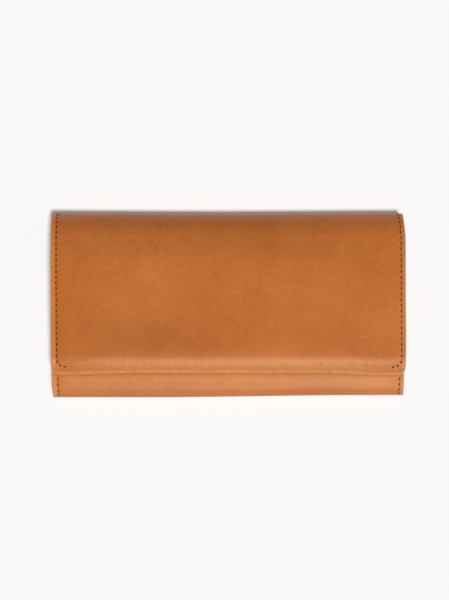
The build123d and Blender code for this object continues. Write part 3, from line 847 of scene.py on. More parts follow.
def edged_columns(half: float, edge: Sequence[float], step: float) -> list[float]:
    """Places across a sheet for a half width of 1, close together near both side edges.

    Args:
        half: the sheet's half width.
        edge: distances from the edge, rising from 0.
        step: the spacing further in.

    Returns:
        The places from -1 to 1.
    """
    right = [1 - d / half for d in edge]
    middle = [v / half for v in spaced(-(half - edge[-1]), half - edge[-1], step)]
    return [-v for v in right[:-1]] + middle + list(reversed(right[:-1]))


EDGE_STEPS = [0.0, 0.06 * MM, 0.16 * MM, 0.35 * MM, 0.8 * MM, 1.4 * MM, 1.9 * MM, 2.3 * MM, 2.6 * MM,
              2.85 * MM,
              3.0 * MM, 3.15 * MM, 3.4 * MM, 3.7 * MM, 4.1 * MM, 4.7 * MM, 5.6 * MM, 6.8 * MM, 8.4 * MM]


def end_steps(last: float, reach: float, count: int) -> list[float]:
    """Arc lengths that close up towards a round end.

    Args:
        last: the arc length of the end.
        reach: how far before it they start.
        count: how many there are.

    Returns:
        The arc lengths, the last one at the end.
    """
    return [last - reach * (1 - math.sin(n / count * math.pi / 2)) for n in range(count + 1)]


# ---------------------------------------------------------------- stitches

@dataclass(frozen=True)
class Stitch:
    """One stitch's place on the flat pattern: its middle, and its turn from the strip's length."""

    x: float
    s: float
    turn: float = 0.0
    length: float = 1.75 * MM


@dataclass
class StitchShape:
    """A two-ply thread that rises out of one hole and drops into the next."""

    width: float = 0.72 * MM
    height: float = 0.30 * MM
    sink: float = 0.36 * MM
    sides: int = 8
    rings: int = 7

    def base(self) -> bmesh.types.BMesh:
        """One stitch along Y, 1 long, in the flat, with its plies twisted."""
        mesh = bmesh.new()
        bmesh.ops.create_cone(mesh, cap_ends=True, segments=self.sides, radius1=0.5, radius2=0.5, depth=1.0)
        cuts = self.rings - 1
        for n in range(1, cuts):
            level = -0.5 + n / cuts
            geometry = mesh.verts[:] + mesh.edges[:] + mesh.faces[:]
            bmesh.ops.bisect_plane(mesh, geom=geometry, plane_co=(0, 0, level), plane_no=(0, 0, 1))
        for vertex in mesh.verts:
            x, y, t = vertex.co
            turn = t * math.pi * 1.2
            angle = math.atan2(y, x)
            lobe = 1 - 0.26 * math.sin(angle - turn) ** 2
            taper = 1 - 0.45 * abs(2 * t) ** 4
            across = x * lobe * taper * self.width
            up = y * lobe * taper * self.height * 1.15
            rise = self.height * 0.32 - (self.sink + self.height * 0.3) * abs(2 * t) ** 3.5
            vertex.co = Vector((across, t, up + rise))
        return mesh

    def sew(self, name: str, stitches: Iterable[Stitch], place: PointMap,
            surface: Callable[[float, float], float], out: float = 1.0) -> bpy.types.Object:
        """Makes one seam's stitches.

        Args:
            name: the piece's name.
            stitches: where they lie.
            place: takes x, s and depth to a point in space.
            surface: the leather's depth at x and s.
            out: 1 for stitches on the outer face, and -1 for the inner face.

        Returns:
            The new piece, a group of separate stitches.
        """
        base = self.base()
        pattern = bpy.data.meshes.new(name + "_base")
        base.to_mesh(pattern)
        base.free()
        seam = bmesh.new()
        for stitch in stitches:
            known = len(seam.verts)
            seam.from_mesh(pattern)
            seam.verts.ensure_lookup_table()
            c, sn = math.cos(stitch.turn), math.sin(stitch.turn)
            for vertex in seam.verts[known:]:
                across, along, up = vertex.co.x, vertex.co.y * stitch.length, vertex.co.z
                x = stitch.x + across * c - along * sn
                s = stitch.s + across * sn + along * c
                vertex.co = place(x, s, surface(stitch.x, stitch.s) - up * out)
        bpy.data.meshes.remove(pattern)
        bmesh.ops.recalc_face_normals(seam, faces=seam.faces[:])
        return piece_from(seam, name)


@dataclass
class SideSeam:
    """The two rows of stitches along a strip's side edges, between two arc lengths."""

    half: float
    inset: tuple[float, float]
    start: float
    end: float
    pitch: float

    def off(self, x: float) -> float:
        """How far a place is from the nearer row."""
        return abs(abs(x) - (self.half - self.inset[x > 0]))

    def stitches(self) -> list[Stitch]:
        """Every stitch of both rows, each a little off its place and its angle."""
        count = round((self.end - self.start) / self.pitch)
        found = []
        for side in (-1, 1):
            for n in range(count):
                s = self.start + (n + 0.5) * self.pitch
                jitter = noise.noise(Vector((s * 900, side * 3.1, 0.5)))
                row = side * (self.half - self.inset[side > 0])
                found.append(Stitch(row + jitter * 0.12 * MM, s, jitter * 0.12))
        return found

    def press(self, x: float, s: float) -> float:
        """How far the row pulls the leather in at a place: a groove, with a dimple at each needle hole."""
        off = self.off(x)
        if off > 4 * MM or s < self.start - 2 * MM or s > self.end + 2 * MM:
            return 0.0
        along = smooth(s, self.start - 2 * MM, self.start) * smooth(-s, -self.end - 2 * MM, -self.end)
        phase = (s - self.start) / self.pitch
        hole = abs(phase - round(phase)) * self.pitch
        groove = 0.16 * MM * bell(off, 0.9 * MM)
        dimple = 0.26 * MM * bell(math.hypot(off, hole), 0.55 * MM)
        return (groove + dimple) * along

    def darken(self, x: float, s: float) -> float:
        """The painted shade inside each needle hole."""
        off = self.off(x)
        if off > 1.2 * MM or s < self.start - 0.5 * MM or s > self.end + 0.5 * MM:
            return 0.0
        phase = (s - self.start) / self.pitch
        hole = abs(phase - round(phase)) * self.pitch
        return 0.6 * bell(math.hypot(off, hole), 0.42 * MM)


# ---------------------------------------------------------------- the outer leather

@dataclass(frozen=True)
class DarkPatch:
    """A soft darker patch on the flap's colour.

    Attributes:
        x: its middle across the flap.
        up: its middle above the tip.
        width: its reach across.
        height: its reach up and down.
        depth: how dark it is in the middle.
    """

    x: float
    up: float
    width: float
    height: float
    depth: float

    def at(self, x: float, up: float) -> float:
        """How dark it is at a place."""
        return self.depth * bell(x - self.x, self.width) * bell(up - self.up, self.height)


@dataclass
class OuterLeather:
    """The strip of tan leather that wraps the wallet, cut where one body hands over to the next."""

    pattern: Pattern
    wardrobe: Wardrobe
    handover_low: float = 72.0
    handover_high: float = 108.0
    corner: float = 5.0 * MM
    droop: float = 1.0 * MM
    # Darker patches towards the lower left, just below the top fold and towards the lower right; the last is painted
    # shade, where the key light falls brighter.
    stains: tuple[DarkPatch, ...] = (
        DarkPatch(-48 * MM, 20 * MM, 36 * MM, 11 * MM, 0.26),
        DarkPatch(6 * MM, 72 * MM, 40 * MM, 10 * MM, 0.18),
        DarkPatch(46 * MM, 22 * MM, 32 * MM, 13 * MM, 0.14),
    )
    back_split_y: float = -12.0 * MM
    stitch: StitchShape = field(default_factory=StitchShape)

    def place(self, x: float, s: float, depth: float) -> Vector:
        """A place on the settled strip."""
        return settle(self.pattern.path.place(x, s, depth), self.pattern)

    def corner_share(self, x: float) -> float:
        """The share of the droop at a place across, half as much again on the right."""
        return smooth(abs(x), 50 * MM, 90 * MM) * (1.5 if x > 0 else 1.0)

    def flap_place(self, x: float, s: float, depth: float) -> Vector:
        """A place on the flap, whose lower edge hangs further down towards its corners."""
        p = self.pattern
        ramp = smooth(s, p.s_tip - 16 * MM, p.s_tip)
        return self.place(x, s + self.droop * ramp * self.corner_share(x), depth)

    def flap_share(self, s: float) -> float:
        """The flap's share of its full thickness: one leather on the fold, and two with a board below it."""
        p = self.pattern
        ratio = p.leather / p.flap_thickness
        return ratio + (1 - ratio) * smooth(s, p.s_on_fold(self.handover_high), p.s_flap)

    def flap_lift(self, x: float, s: float) -> float:
        """The flap's filled middle, which falls towards its seams and its tip."""
        p = self.pattern
        inward = max(p.half - p.seam_inset[x > 0] - abs(x), 0.0)
        side = 1 - math.exp(-inward / (6.5 * MM))
        tip = smooth(p.s_tip - s, 0.5 * MM, 6 * MM + 10 * MM * smooth(inward, 2 * MM, 40 * MM))
        root = smooth(s, p.s_on_fold(110), p.s_flap + 12 * MM)
        ripple = noise.noise(Vector((x * 55, s * 42, 1.7))) * 0.12 * MM
        skived = 0.42 * MM * (1 - smooth(p.s_tip - s, 0.0, 5 * MM))
        return (0.85 * MM * side + ripple) * tip * root - skived

    def flap_seam(self) -> SideSeam:
        """The flap's straight side rows."""
        p = self.pattern
        return SideSeam(p.half, p.seam_inset, p.s_on_fold(self.handover_high), p.s_tip - 8.6 * MM,
                        p.stitch_pitch)

    def corner_stitches(self) -> list[Stitch]:
        """The stitches that turn in at each lower corner."""
        seam = self.flap_seam()
        count = round((seam.end - seam.start) / seam.pitch)
        first = seam.start + count * seam.pitch
        radius, pitch = 3.9 * MM, 2.6 * MM
        found = []
        for side in (-1, 1):
            for n in range(3):
                walked = (n + 0.55) * pitch
                a = min(walked / radius, math.pi / 2)
                beyond = max(walked - radius * math.pi / 2, 0.0)
                x = side * (seam.half - seam.inset[side > 0] - radius * (1 - math.cos(a)) - beyond)
                found.append(Stitch(x, first + radius * math.sin(a), side * a))
        return found

    def columns(self, half: float) -> list[float]:
        """The places across a strip, close together at its seams."""
        return edged_columns(half, EDGE_STEPS, 2.6 * MM)

    def make_flap(self) -> bpy.types.Object:
        """The flap with its share of the top fold, rolled over at the tip."""
        p = self.pattern
        seam = self.flap_seam()
        corners = self.corner_stitches()
        start = p.s_on_fold(self.handover_high)

        def lift(x: float, s: float) -> float:
            pressed = seam.press(x, s)
            for c in corners:
                pressed = max(pressed, 0.3 * MM * bell(math.hypot(x - c.x, s - c.s), 1.2 * MM))
            return self.flap_lift(x, s) - pressed

        def wear(x: float, s: float) -> float:
            reach = 26 * MM if x > 0 else 42 * MM
            # Paling along the roll: pull-up of the bent hide, with a painted highlight where the roll faces the key
            # light; then a paler patch towards the upper left.
            roll = 0.62 * bell(s - (p.s_tip - 6.4 * MM), 3.6 * MM) * smooth(p.half - abs(x), 2 * MM, reach)
            roll += 0.13 * bell(x + 46 * MM, 26 * MM) * bell(s - (p.s_tip - 57 * MM), 17 * MM)
            # A painted highlight along the tip's rolled edge.
            edge = 0.85 * bell(s - (p.s_tip - 1.5 * MM), 1.0 * MM)
            return min(roll + edge + self.edge_wear(p.half)(x, s), 1.0)

        rows = spaced(start, p.s_flap, 0.55 * MM)[:-1] + spaced(p.s_flap, p.s_tip - 14 * MM, 0.75 * MM)[:-1]
        rows += spaced(p.s_tip - 14 * MM, p.s_tip - self.corner, 0.55 * MM)[:-1]
        rows += end_steps(p.s_tip, self.corner, 18)

        # Painted shade in the needle holes, with the darker patches.
        def shade(x: float, s: float) -> float:
            return seam.darken(x, s) + sum(dark_patch.at(x, p.s_tip - s) for dark_patch in self.stains)

        sheet = Sheet("flap_leather", self.columns(p.half), rows, 0.0, p.flap_thickness, lambda s: p.half,
                      end_round=(0.0, 1.5 * MM), corner=self.corner, relief=Relief(lift, wear, shade))

        def place(x: float, s: float, depth: float) -> Vector:
            return self.flap_place(x, s, depth * self.flap_share(s))

        piece = sheet.build(place)
        self.wardrobe.dress(piece, Finish.TAN)
        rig.blend(piece, "spine_upper", "flap", self.pattern.at_fold(self.handover_high),
                 self.pattern.at_fold(182))
        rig.replaces(piece, "flap_shell")
        return piece

    def flap_surface(self, x: float, s: float) -> float:
        """The depth of the flap's face under its stitches."""
        return 0.14 * MM - self.flap_lift(x, s)

    def make_flap_threads(self) -> bpy.types.Object:
        """The stitches down both sides of the flap and round its lower corners."""
        stitches = self.flap_seam().stitches() + self.corner_stitches()
        piece = self.stitch.sew("flap_stitches", stitches, self.flap_place, self.flap_surface)
        self.wardrobe.dress(piece, Finish.THREAD)
        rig.blend(piece, "spine_upper", "flap", self.pattern.at_fold(self.handover_high),
                 self.pattern.at_fold(182))
        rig.replaces(piece, "flap_threads")
        return piece

    def make_flap_inner_threads(self) -> bpy.types.Object:
        """The same seam where it shows on the flap's inner face."""
        p = self.pattern
        stitches = [st for st in self.flap_seam().stitches() + self.corner_stitches() if st.s > p.s_flap]
        piece = self.stitch.sew("flap_inner_stitches", stitches, self.flap_place,
                                lambda x, s: p.flap_thickness - 0.12 * MM, out=-1.0)
        self.wardrobe.dress(piece, Finish.THREAD)
        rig.blend(piece, "spine_upper", "flap", p.at_fold(self.handover_high), p.at_fold(182))
        return piece

    def make_band(self, name: str, s0: float, s1: float, half: float, step: float, bodies: tuple[str, str],
                  span: tuple[Vector, Vector], replaced: Sequence[str], wear: Callable[[float, float], float],
                  end_round: tuple[float, float] = (0.0, 0.0),
                  shadow: Callable[[float, float], float] = lambda x, s: 0.0) -> bpy.types.Object:
        """One plain stretch of the strip with its stitches.

        Args:
            name: the piece's name, to which the stitches add their own.
            s0: where it starts.
            s1: where it ends.
            half: its half width.
            step: the spacing of its rows.
            bodies: the two bodies that it bends between.
            span: where the bend starts and ends.
            replaced: the CAD nodes of its leather and of its threads.
            wear: how pale it is worn, with painted highlight and painted reflection where it has them.
            end_round: how far its first and last edges round off.
            shadow: the painted shadow laid on it, as under the flap's tip.

        Returns:
            The leather piece.
        """
        p = self.pattern
        seam = SideSeam(half, p.seam_inset, s0 + end_round[0], s1 - end_round[1], p.stitch_pitch)
        seam.pitch = (seam.end - seam.start) / max(round((seam.end - seam.start) / p.stitch_pitch), 1)
        rows = spaced(s0, s1, step)
        if end_round[0] > 0:
            rows = [s0, s0 + 0.1 * MM, s0 + 0.3 * MM, s0 + 0.6 * MM] + spaced(s0 + 1.2 * MM, s1, step)
        # The shade mask: painted shade in the needle holes plus the painted shadow.
        relief = Relief(lambda x, s: -seam.press(x, s), wear, lambda x, s: seam.darken(x, s) + shadow(x, s))
        sheet = Sheet(name + "_leather", self.columns(half), rows, 0.0, p.leather, lambda s: half,
                      end_round=(0.6 * MM if end_round[0] > 0 else 0.0, 0.0), relief=relief)
        leather = sheet.build(self.place)
        threads = self.stitch.sew(name + "_stitches", seam.stitches(), self.place, lambda x, s: 0.14 * MM)
        for piece, finish in ((leather, Finish.TAN), (threads, Finish.THREAD)):
            self.wardrobe.dress(piece, finish)
            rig.blend(piece, *bodies, *span)
        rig.replaces(leather, *replaced[:1])
        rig.replaces(threads, *replaced[1:])
        return leather

    def edge_wear(self, half: float) -> Callable[[float, float], float]:
        """The paler margin outside the stitches."""
        return lambda x, s: (0.7 if x < 0 else 0.45) * smooth(abs(x), half - 2.6 * MM, half - 1.0 * MM)

    def front_span(self) -> tuple[Vector, Vector]:
        """Where the front panel's bend starts and ends, at the bottom fold."""
        p = self.pattern
        return p.path.place(0, p.s_bottom, 0), Vector((0.0, p.bottom_y + 3 * MM, 2 * p.bottom_radius))

    def make_bands(self) -> None:
        """The top fold, the back panel, the bottom fold and the front panel."""
        p = self.pattern
        low, high = p.s_on_fold(self.handover_low), p.s_on_fold(self.handover_high)
        self.make_band("top_fold", low, high, p.half - 0.2 * MM, 0.35 * MM, ("spine_lower", "spine_upper"),
                       (p.at_fold(self.handover_low), p.at_fold(self.handover_high)),
                       ("spine_shell_upper", "spine_threads_upper"), self.edge_wear(p.half))
        split = p.s_back + self.back_split_y - p.bottom_y
        self.make_band("back_panel", split, low, p.back_half, 1.0 * MM, ("back", "spine_lower"),
                       (p.at_fold(0), p.at_fold(self.handover_low)),
                       ("spine_shell_lower", "spine_threads_lower"), self.edge_wear(p.back_half))
        bottom = p.path.place(0, p.s_bottom, 0)
        lower = self.make_band("bottom_fold", p.s_bottom, split, p.back_half, 0.8 * MM,
                               ("back", "coin_pocket"),
                               (Vector((0.0, p.bottom_y + 3 * MM, 0.0)), bottom),
                               ("back_shell", "back_threads"), self.edge_wear(p.back_half))

        def front_wear_and_highlight(x: float, s: float) -> float:
            inward = smooth(p.front_half - abs(x), 1 * MM, 12 * MM)
            # Paling at the bend below the flap's tip: pull-up of the bent hide, with a painted highlight where it
            # faces the key light.
            bend = 0.58 * bell(s - (p.front_run - 2.4 * MM), 3.2 * MM) * inward
            # A painted reflection of the floor along the bottom fold's rim.
            rim_reflection = 0.75 * bell(s - (p.s_bottom - 1.2 * MM), 1.1 * MM)
            return min(bend + rim_reflection + self.edge_wear(p.front_half)(x, s), 1.0)

        tip = p.path.place(0, p.s_tip, p.flap_thickness).y
        under = (p.mouth_y - tip) / math.cos(math.radians(p.front_slope))

        # Painted shadow on the front panel just under the flap's tip.
        def tip_shadow(x: float, s: float) -> float:
            return 0.30 * bell(s - under - self.droop * self.corner_share(x) - 0.3 * MM, 0.8 * MM)

        self.make_band("front_panel", 0.0, p.s_bottom, p.front_half, 0.8 * MM, ("coin_pocket", "front_panel"),
                       self.front_span(),
                       ("front_shell", "front_threads"), front_wear_and_highlight, (2 * MM, 0.0), tip_shadow)
        LOG.info("outer leather ends with %s", lower.name)

    def make(self) -> None:
        """Builds every stretch of the strip."""
        self.make_flap()
        self.make_flap_threads()
        self.make_flap_inner_threads()
        self.make_bands()


def laid(curve: Callable[[float, float], Vector], out: float = 1.0) -> PointMap:
    """Lays a sheet on a surface, with its thickness square to it.

    Args:
        curve: takes x and s to a point of the surface.
        out: 1 where the outer face looks along x cross s, and -1 where it looks the other way.

    Returns:
        The place of x, s and depth.
    """
    step = 0.05 * MM

    def place(x: float, s: float, depth: float) -> Vector:
        across = curve(x + step, s) - curve(x - step, s)
        along = curve(x, s + step) - curve(x, s - step)
        return curve(x, s) - across.cross(along).normalized() * depth * out

    return place


# ---------------------------------------------------------------- linings

@dataclass
class Linings:
    """What lines the outer leather: thin leather round the top fold, twill on both panels, flap board."""

    outer: OuterLeather
    wardrobe: Wardrobe
    margin: float = 0.9 * MM
    overlap: float = 6.0 * MM
    cloth_end: float = 12.0
    washer_radius: float = 6.0 * MM
    snap_y: float = -18.0 * MM

    def make_cloth(self, name: str, s0: float, s1: float, half: float, place: PointMap,
                   bodies: tuple[str, str],
                   span: tuple[Vector, Vector], node: str, behind: str) -> None:
        """One panel's twill lining.

        Args:
            name: the piece's name.
            s0: where it starts.
            s1: where it ends.
            half: its half width.
            place: takes x, s and depth to a point in space.
            bodies: the two bodies that it bends between.
            span: where the bend starts and ends.
            node: the CAD node that it stands for.
            behind: the leather that it is laid on.
        """
        p = self.outer.pattern
        columns = edged_columns(half, [0.0, 0.1 * MM, 0.3 * MM, 1.0 * MM], 3.0 * MM)
        rows = [s0, s0 + 0.1 * MM, s0 + 0.3 * MM] + spaced(s0 + 0.8 * MM, s1, 1.6 * MM)
        sheet = Sheet(name, columns, rows, p.leather, p.lining, lambda s: half, 0.2 * MM,
                      (0.3 * MM, 0.2 * MM))
        piece = sheet.build(place)
        self.wardrobe.dress(piece, Finish.TWILL)
        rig.blend(piece, *bodies, *span)
        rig.replaces(piece, node)
        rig.sheet(piece, flat=(2 * half, s1 - s0), held="laid", rests_on=[behind])

    def front_place(self, x: float, s: float, depth: float) -> Vector:
        """The front lining's place, pushed in over the washer behind the snap."""
        p = self.outer.pattern
        snap_s = (p.mouth_y - self.snap_y) / math.cos(math.radians(p.front_slope))
        away = math.hypot(x, s - snap_s)
        return self.outer.place(x, s, depth + 0.36 * MM * smooth(-away, -self.washer_radius - 5 * MM,
                                                                 -self.washer_radius - 2.2 * MM))

    def make_fold(self) -> None:
        """The inner leather round the top fold, in three stretches like the outer leather."""
        outer, p = self.outer, self.outer.pattern
        low, high = p.s_on_fold(outer.handover_low), p.s_on_fold(outer.handover_high)
        half = p.half - self.margin
        thickness = p.fold_lining

        def on_back(x: float, s: float, depth: float) -> Vector:
            step_up = p.lining * (1 - smooth(s, p.s_fold + 2 * MM, p.s_fold + 5 * MM))
            return outer.place(x, s, depth + p.leather + step_up)

        def on_fold(x: float, s: float, depth: float) -> Vector:
            return outer.place(x, s, depth + p.leather)

        def on_flap(x: float, s: float, depth: float) -> Vector:
            return outer.flap_place(x, s, depth + p.flap_thickness * outer.flap_share(s))

        stretches = (
            ("fold_lining_lower", p.s_fold - self.overlap, low, on_back, ("back", "spine_lower"),
             (p.at_fold(0), p.at_fold(outer.handover_low)), "spine_lining_lower"),
            ("fold_lining_middle", low, high, on_fold, ("spine_lower", "spine_upper"),
             (p.at_fold(outer.handover_low), p.at_fold(outer.handover_high)), ""),
            ("fold_lining_upper", high, p.s_flap + self.overlap, on_flap, ("spine_upper", "flap"),
             (p.at_fold(outer.handover_high), p.at_fold(182)), "spine_lining_upper"),
        )
        columns = edged_columns(half, EDGE_STEPS, 3.0 * MM)
        for name, s0, s1, place, bodies, span, node in stretches:
            ends = (0.3 * MM if "lower" in name else 0.0, 0.3 * MM if "upper" in name else 0.0)
            piece = Sheet(name, columns, spaced(s0, s1, 0.5 * MM), 0.0, thickness, lambda s: half,
                          0.3 * MM, ends).build(place)
            seam = SideSeam(p.half, p.seam_inset, s0, s1, p.stitch_pitch)
            threads = outer.stitch.sew(name + "_stitches", seam.stitches(), place,
                                       lambda x, s: thickness - 0.1 * MM, out=-1.0)
            for made, finish in ((piece, Finish.INNER), (threads, Finish.THREAD)):
                self.wardrobe.dress(made, finish)
                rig.blend(made, *bodies, *span)
            if node:
                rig.replaces(piece, node)

    def make_board(self) -> None:
        """The stiffener between the flap's two leathers."""
        outer, p = self.outer, self.outer.pattern
        half = p.half - 8 * MM
        sheet = Sheet("flap_board", edged_columns(half, [0.0, 0.2 * MM, 1.0 * MM], 4 * MM),
                      spaced(p.s_flap + 4 * MM, p.s_tip - 4.5 * MM, 1.5 * MM), p.leather + 0.05 * MM,
                      0.2 * MM,
                      lambda s: half)
        piece = sheet.build(outer.flap_place)
        self.wardrobe.dress(piece, Finish.BOARD)
        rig.replaces(piece, "flap_stiffener")
        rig.ride(piece, "flap")

    def make(self) -> None:
        """Builds every lining."""
        outer, p = self.outer, self.outer.pattern
        self.make_cloth("back_cloth", p.s_back + 3.2 * MM, p.s_on_fold(self.cloth_end),
                        p.back_half - self.margin,
                        outer.place, ("back", "spine_lower"), (p.at_fold(0), p.at_fold(outer.handover_low)),
                        "back_lining", "back_panel_leather")
        self.make_cloth("front_cloth", 0.8 * MM, p.front_run, p.front_half - self.margin, self.front_place,
                        ("coin_pocket", "front_panel"), outer.front_span(), "front_lining",
                        "front_panel_leather")
        self.make_fold()
        self.make_board()


# ---------------------------------------------------------------- the coin pocket and its neighbours

@dataclass
class CoinPocket:
    """The zipped twill bag in the middle, pinched flat at its sides where the gussets are sewn on."""

    outer: OuterLeather
    wardrobe: Wardrobe
    tilt: float = 2.66
    half_depths: tuple[float, float] = (1.5 * MM, 3.4 * MM)
    bottom_y: float = -41.0 * MM
    mouth_y: float = 27.0 * MM
    half: float = 92.6 * MM
    wall: float = 0.4 * MM
    pinch: tuple[float, float] = (77.0 * MM, 89.0 * MM)
    leaf_bottom: float = -40.0 * MM
    leaf_tops: tuple[tuple[str, float], ...] = (("upper", 24.0 * MM), ("lower", 6.0 * MM))

    def __post_init__(self) -> None:
        """Takes the turning axis from the frame."""
        joint = next(j for j in frame["joints"] if j["name"] == "pocket_spread")
        self.pivot = Vector(joint["pos_m"])
        self.turn = Matrix.Rotation(math.radians(self.tilt), 3, "X")

    def lay(self, point: Vector) -> Vector:
        """Turns a point of the level pocket to where it lies in the wallet."""
        return self.pivot + self.turn @ (point - self.pivot)

    def half_depth(self, y: float) -> float:
        """Half of the level pocket's thickness at y."""
        low, high = self.half_depths
        share = (y - self.bottom_y) / (self.mouth_y - self.bottom_y)
        return low + share * (high - low)

    def fullness(self, x: float) -> float:
        """The share of its thickness that the bag has at x."""
        return 1 - 0.85 * smooth(abs(x), *self.pinch)

    def face(self, x: float, y: float, sign: float, off: float = 0.0) -> Vector:
        """A place on the rear (-1) or front (1) wall, lifted off it."""
        z = self.pivot.z + sign * (self.half_depth(y) * self.fullness(x) + off)
        return self.lay(Vector((x, y, z)))

    def bag_curve(self, x: float, s: float) -> Vector:
        """The bag's outer face: down the front wall, round the bottom and up the rear wall."""
        run = self.mouth_y - self.leaf_bottom
        radius = self.half_depth(self.leaf_bottom)
        arc = math.pi * radius
        crumple = abs(noise.noise(Vector((x * 40, s * 45, 8.8))))
        slack = -0.22 * MM * crumple * smooth(self.half - abs(x), 0, 20 * MM)
        if s < run:
            return self.face(x, self.mouth_y - s, 1.0, slack * smooth(s, 8 * MM, 20 * MM))
        if s < run + arc:
            a = (s - run) / radius
            z = self.pivot.z + radius * math.cos(a) * self.fullness(x)
            return self.lay(Vector((x, self.leaf_bottom - radius * math.sin(a), z)))
        back = s - run - arc
        return self.face(x, self.leaf_bottom + back, -1.0, slack * smooth(run - back, 8 * MM, 20 * MM))

    def make_bag(self) -> None:
        """The bag, one piece of twill folded at the bottom."""
        run = self.mouth_y - self.leaf_bottom
        arc = math.pi * self.half_depth(self.leaf_bottom)
        length = 2 * run + arc
        rows = spaced(0, run, 1.8 * MM)[:-1] + spaced(run, run + arc, 0.5 * MM)[:-1]
        rows += spaced(run + arc, length, 1.8 * MM)
        columns = edged_columns(self.half,
                                [0.0, 0.2 * MM, 0.8 * MM, 2 * MM, 4 * MM, 6 * MM, 8 * MM, 10 * MM, 12 * MM,
                                            14 * MM, 16 * MM], 3 * MM)
        sheet = Sheet("coin_bag", columns, rows, 0.0, self.wall, lambda s: self.half, 0.3 * MM)
        piece = sheet.build(laid(self.bag_curve, -1.0))
        self.wardrobe.dress(piece, Finish.TWILL)
        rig.ride(piece, "coin_pocket")
        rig.replaces(piece, "coin_pocket_bag")
        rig.sheet(piece, flat=(2 * self.half, length), held="folded")

    def make_leaf(self, name: str, curve: Callable[[float, float], Vector], height: float, covered: float,
                  body: str, node: str) -> None:
        """One card leaf with a turned hem, sewn down its middle.

        Args:
            name: the piece's name.
            curve: takes x and s, counted from its lower edge, to the surface.
            height: how tall the leaf is.
            covered: how far up another leaf lies on it.
            body: the body that it rides on.
            node: the CAD node that it stands for.
        """
        hem = 3.2 * MM

        def lift(x: float, s: float) -> float:
            bulge = 0.16 * MM * math.sin(math.pi * min(abs(x) / self.half, 1.0)) ** 2
            bulge *= smooth(s, covered + 2 * MM, covered + 12 * MM)
            sewn = 0.10 * MM * bell(s - height + 2 * MM, 0.5 * MM) + 0.12 * MM * bell(x, 0.6 * MM)
            return 0.12 * MM * smooth(s, height - hem - 0.4 * MM, height - hem) + bulge - sewn

        columns = edged_columns(self.half, [0.0, 0.1 * MM, 0.4 * MM, 1.2 * MM], 2.9 * MM)
        by_seam = [side * d / self.half for d in (0.0, 0.5 * MM, 1.1 * MM) for side in (-1, 1)]
        columns = sorted(set(columns + by_seam))
        rows = spaced(0, height - 5 * MM, 1.8 * MM)[:-1]
        rows += spaced(height - 5 * MM, height - 0.4 * MM, 0.35 * MM)
        rows += [height - 0.2 * MM, height - 0.08 * MM, height]
        place = laid(curve)
        piece = Sheet(name, columns, rows, 0.0, self.wall, lambda s: self.half, 0.2 * MM, (0.0, 0.25 * MM),
                      relief=Relief(lift)).build(place)
        pitch = self.outer.pattern.stitch_pitch
        across = [Stitch(x, height - 2 * MM, math.pi / 2)
                  for x in spaced(-self.half + 6 * MM, self.half - 6 * MM, pitch)]
        down = [Stitch(0.0, s) for s in spaced(covered + 4 * MM, height - 4.5 * MM, pitch)]
        threads = self.outer.stitch.sew(name + "_stitches", across + down, place,
                                        lambda x, s: -lift(x, s) - 0.02 * MM)
        self.wardrobe.dress(piece, Finish.INNER)
        self.wardrobe.dress(threads, Finish.THREAD)
        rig.ride(piece, body)
        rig.ride(threads, body)
        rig.replaces(piece, node)

    def make_leaves(self) -> None:
        """Two card leaves on the back lining and two on the pocket's front wall."""
        p = self.outer.pattern
        for n, (name, top) in enumerate(self.leaf_tops):
            lift = (n + 1) * self.wall
            height = top - self.leaf_bottom
            covered = self.leaf_tops[1][1] - self.leaf_bottom if n == 0 else 0.0
            z = p.leather + p.lining + lift

            def on_back(x: float, s: float, z: float = z) -> Vector:
                return Vector((x, self.leaf_bottom + s, z))

            def on_front(x: float, s: float, lift: float = lift) -> Vector:
                return self.face(x, self.leaf_bottom + s, 1.0, lift)

            self.make_leaf(f"back_leaf_{name}", on_back, height, covered, "back", f"back_card_leaf_{name}")
            self.make_leaf(f"front_leaf_{name}", on_front, height, covered, "coin_pocket",
                           f"front_card_leaf_{name}")

    def make(self) -> None:
        """Builds the bag and the leaves."""
        self.make_bag()
        self.make_leaves()


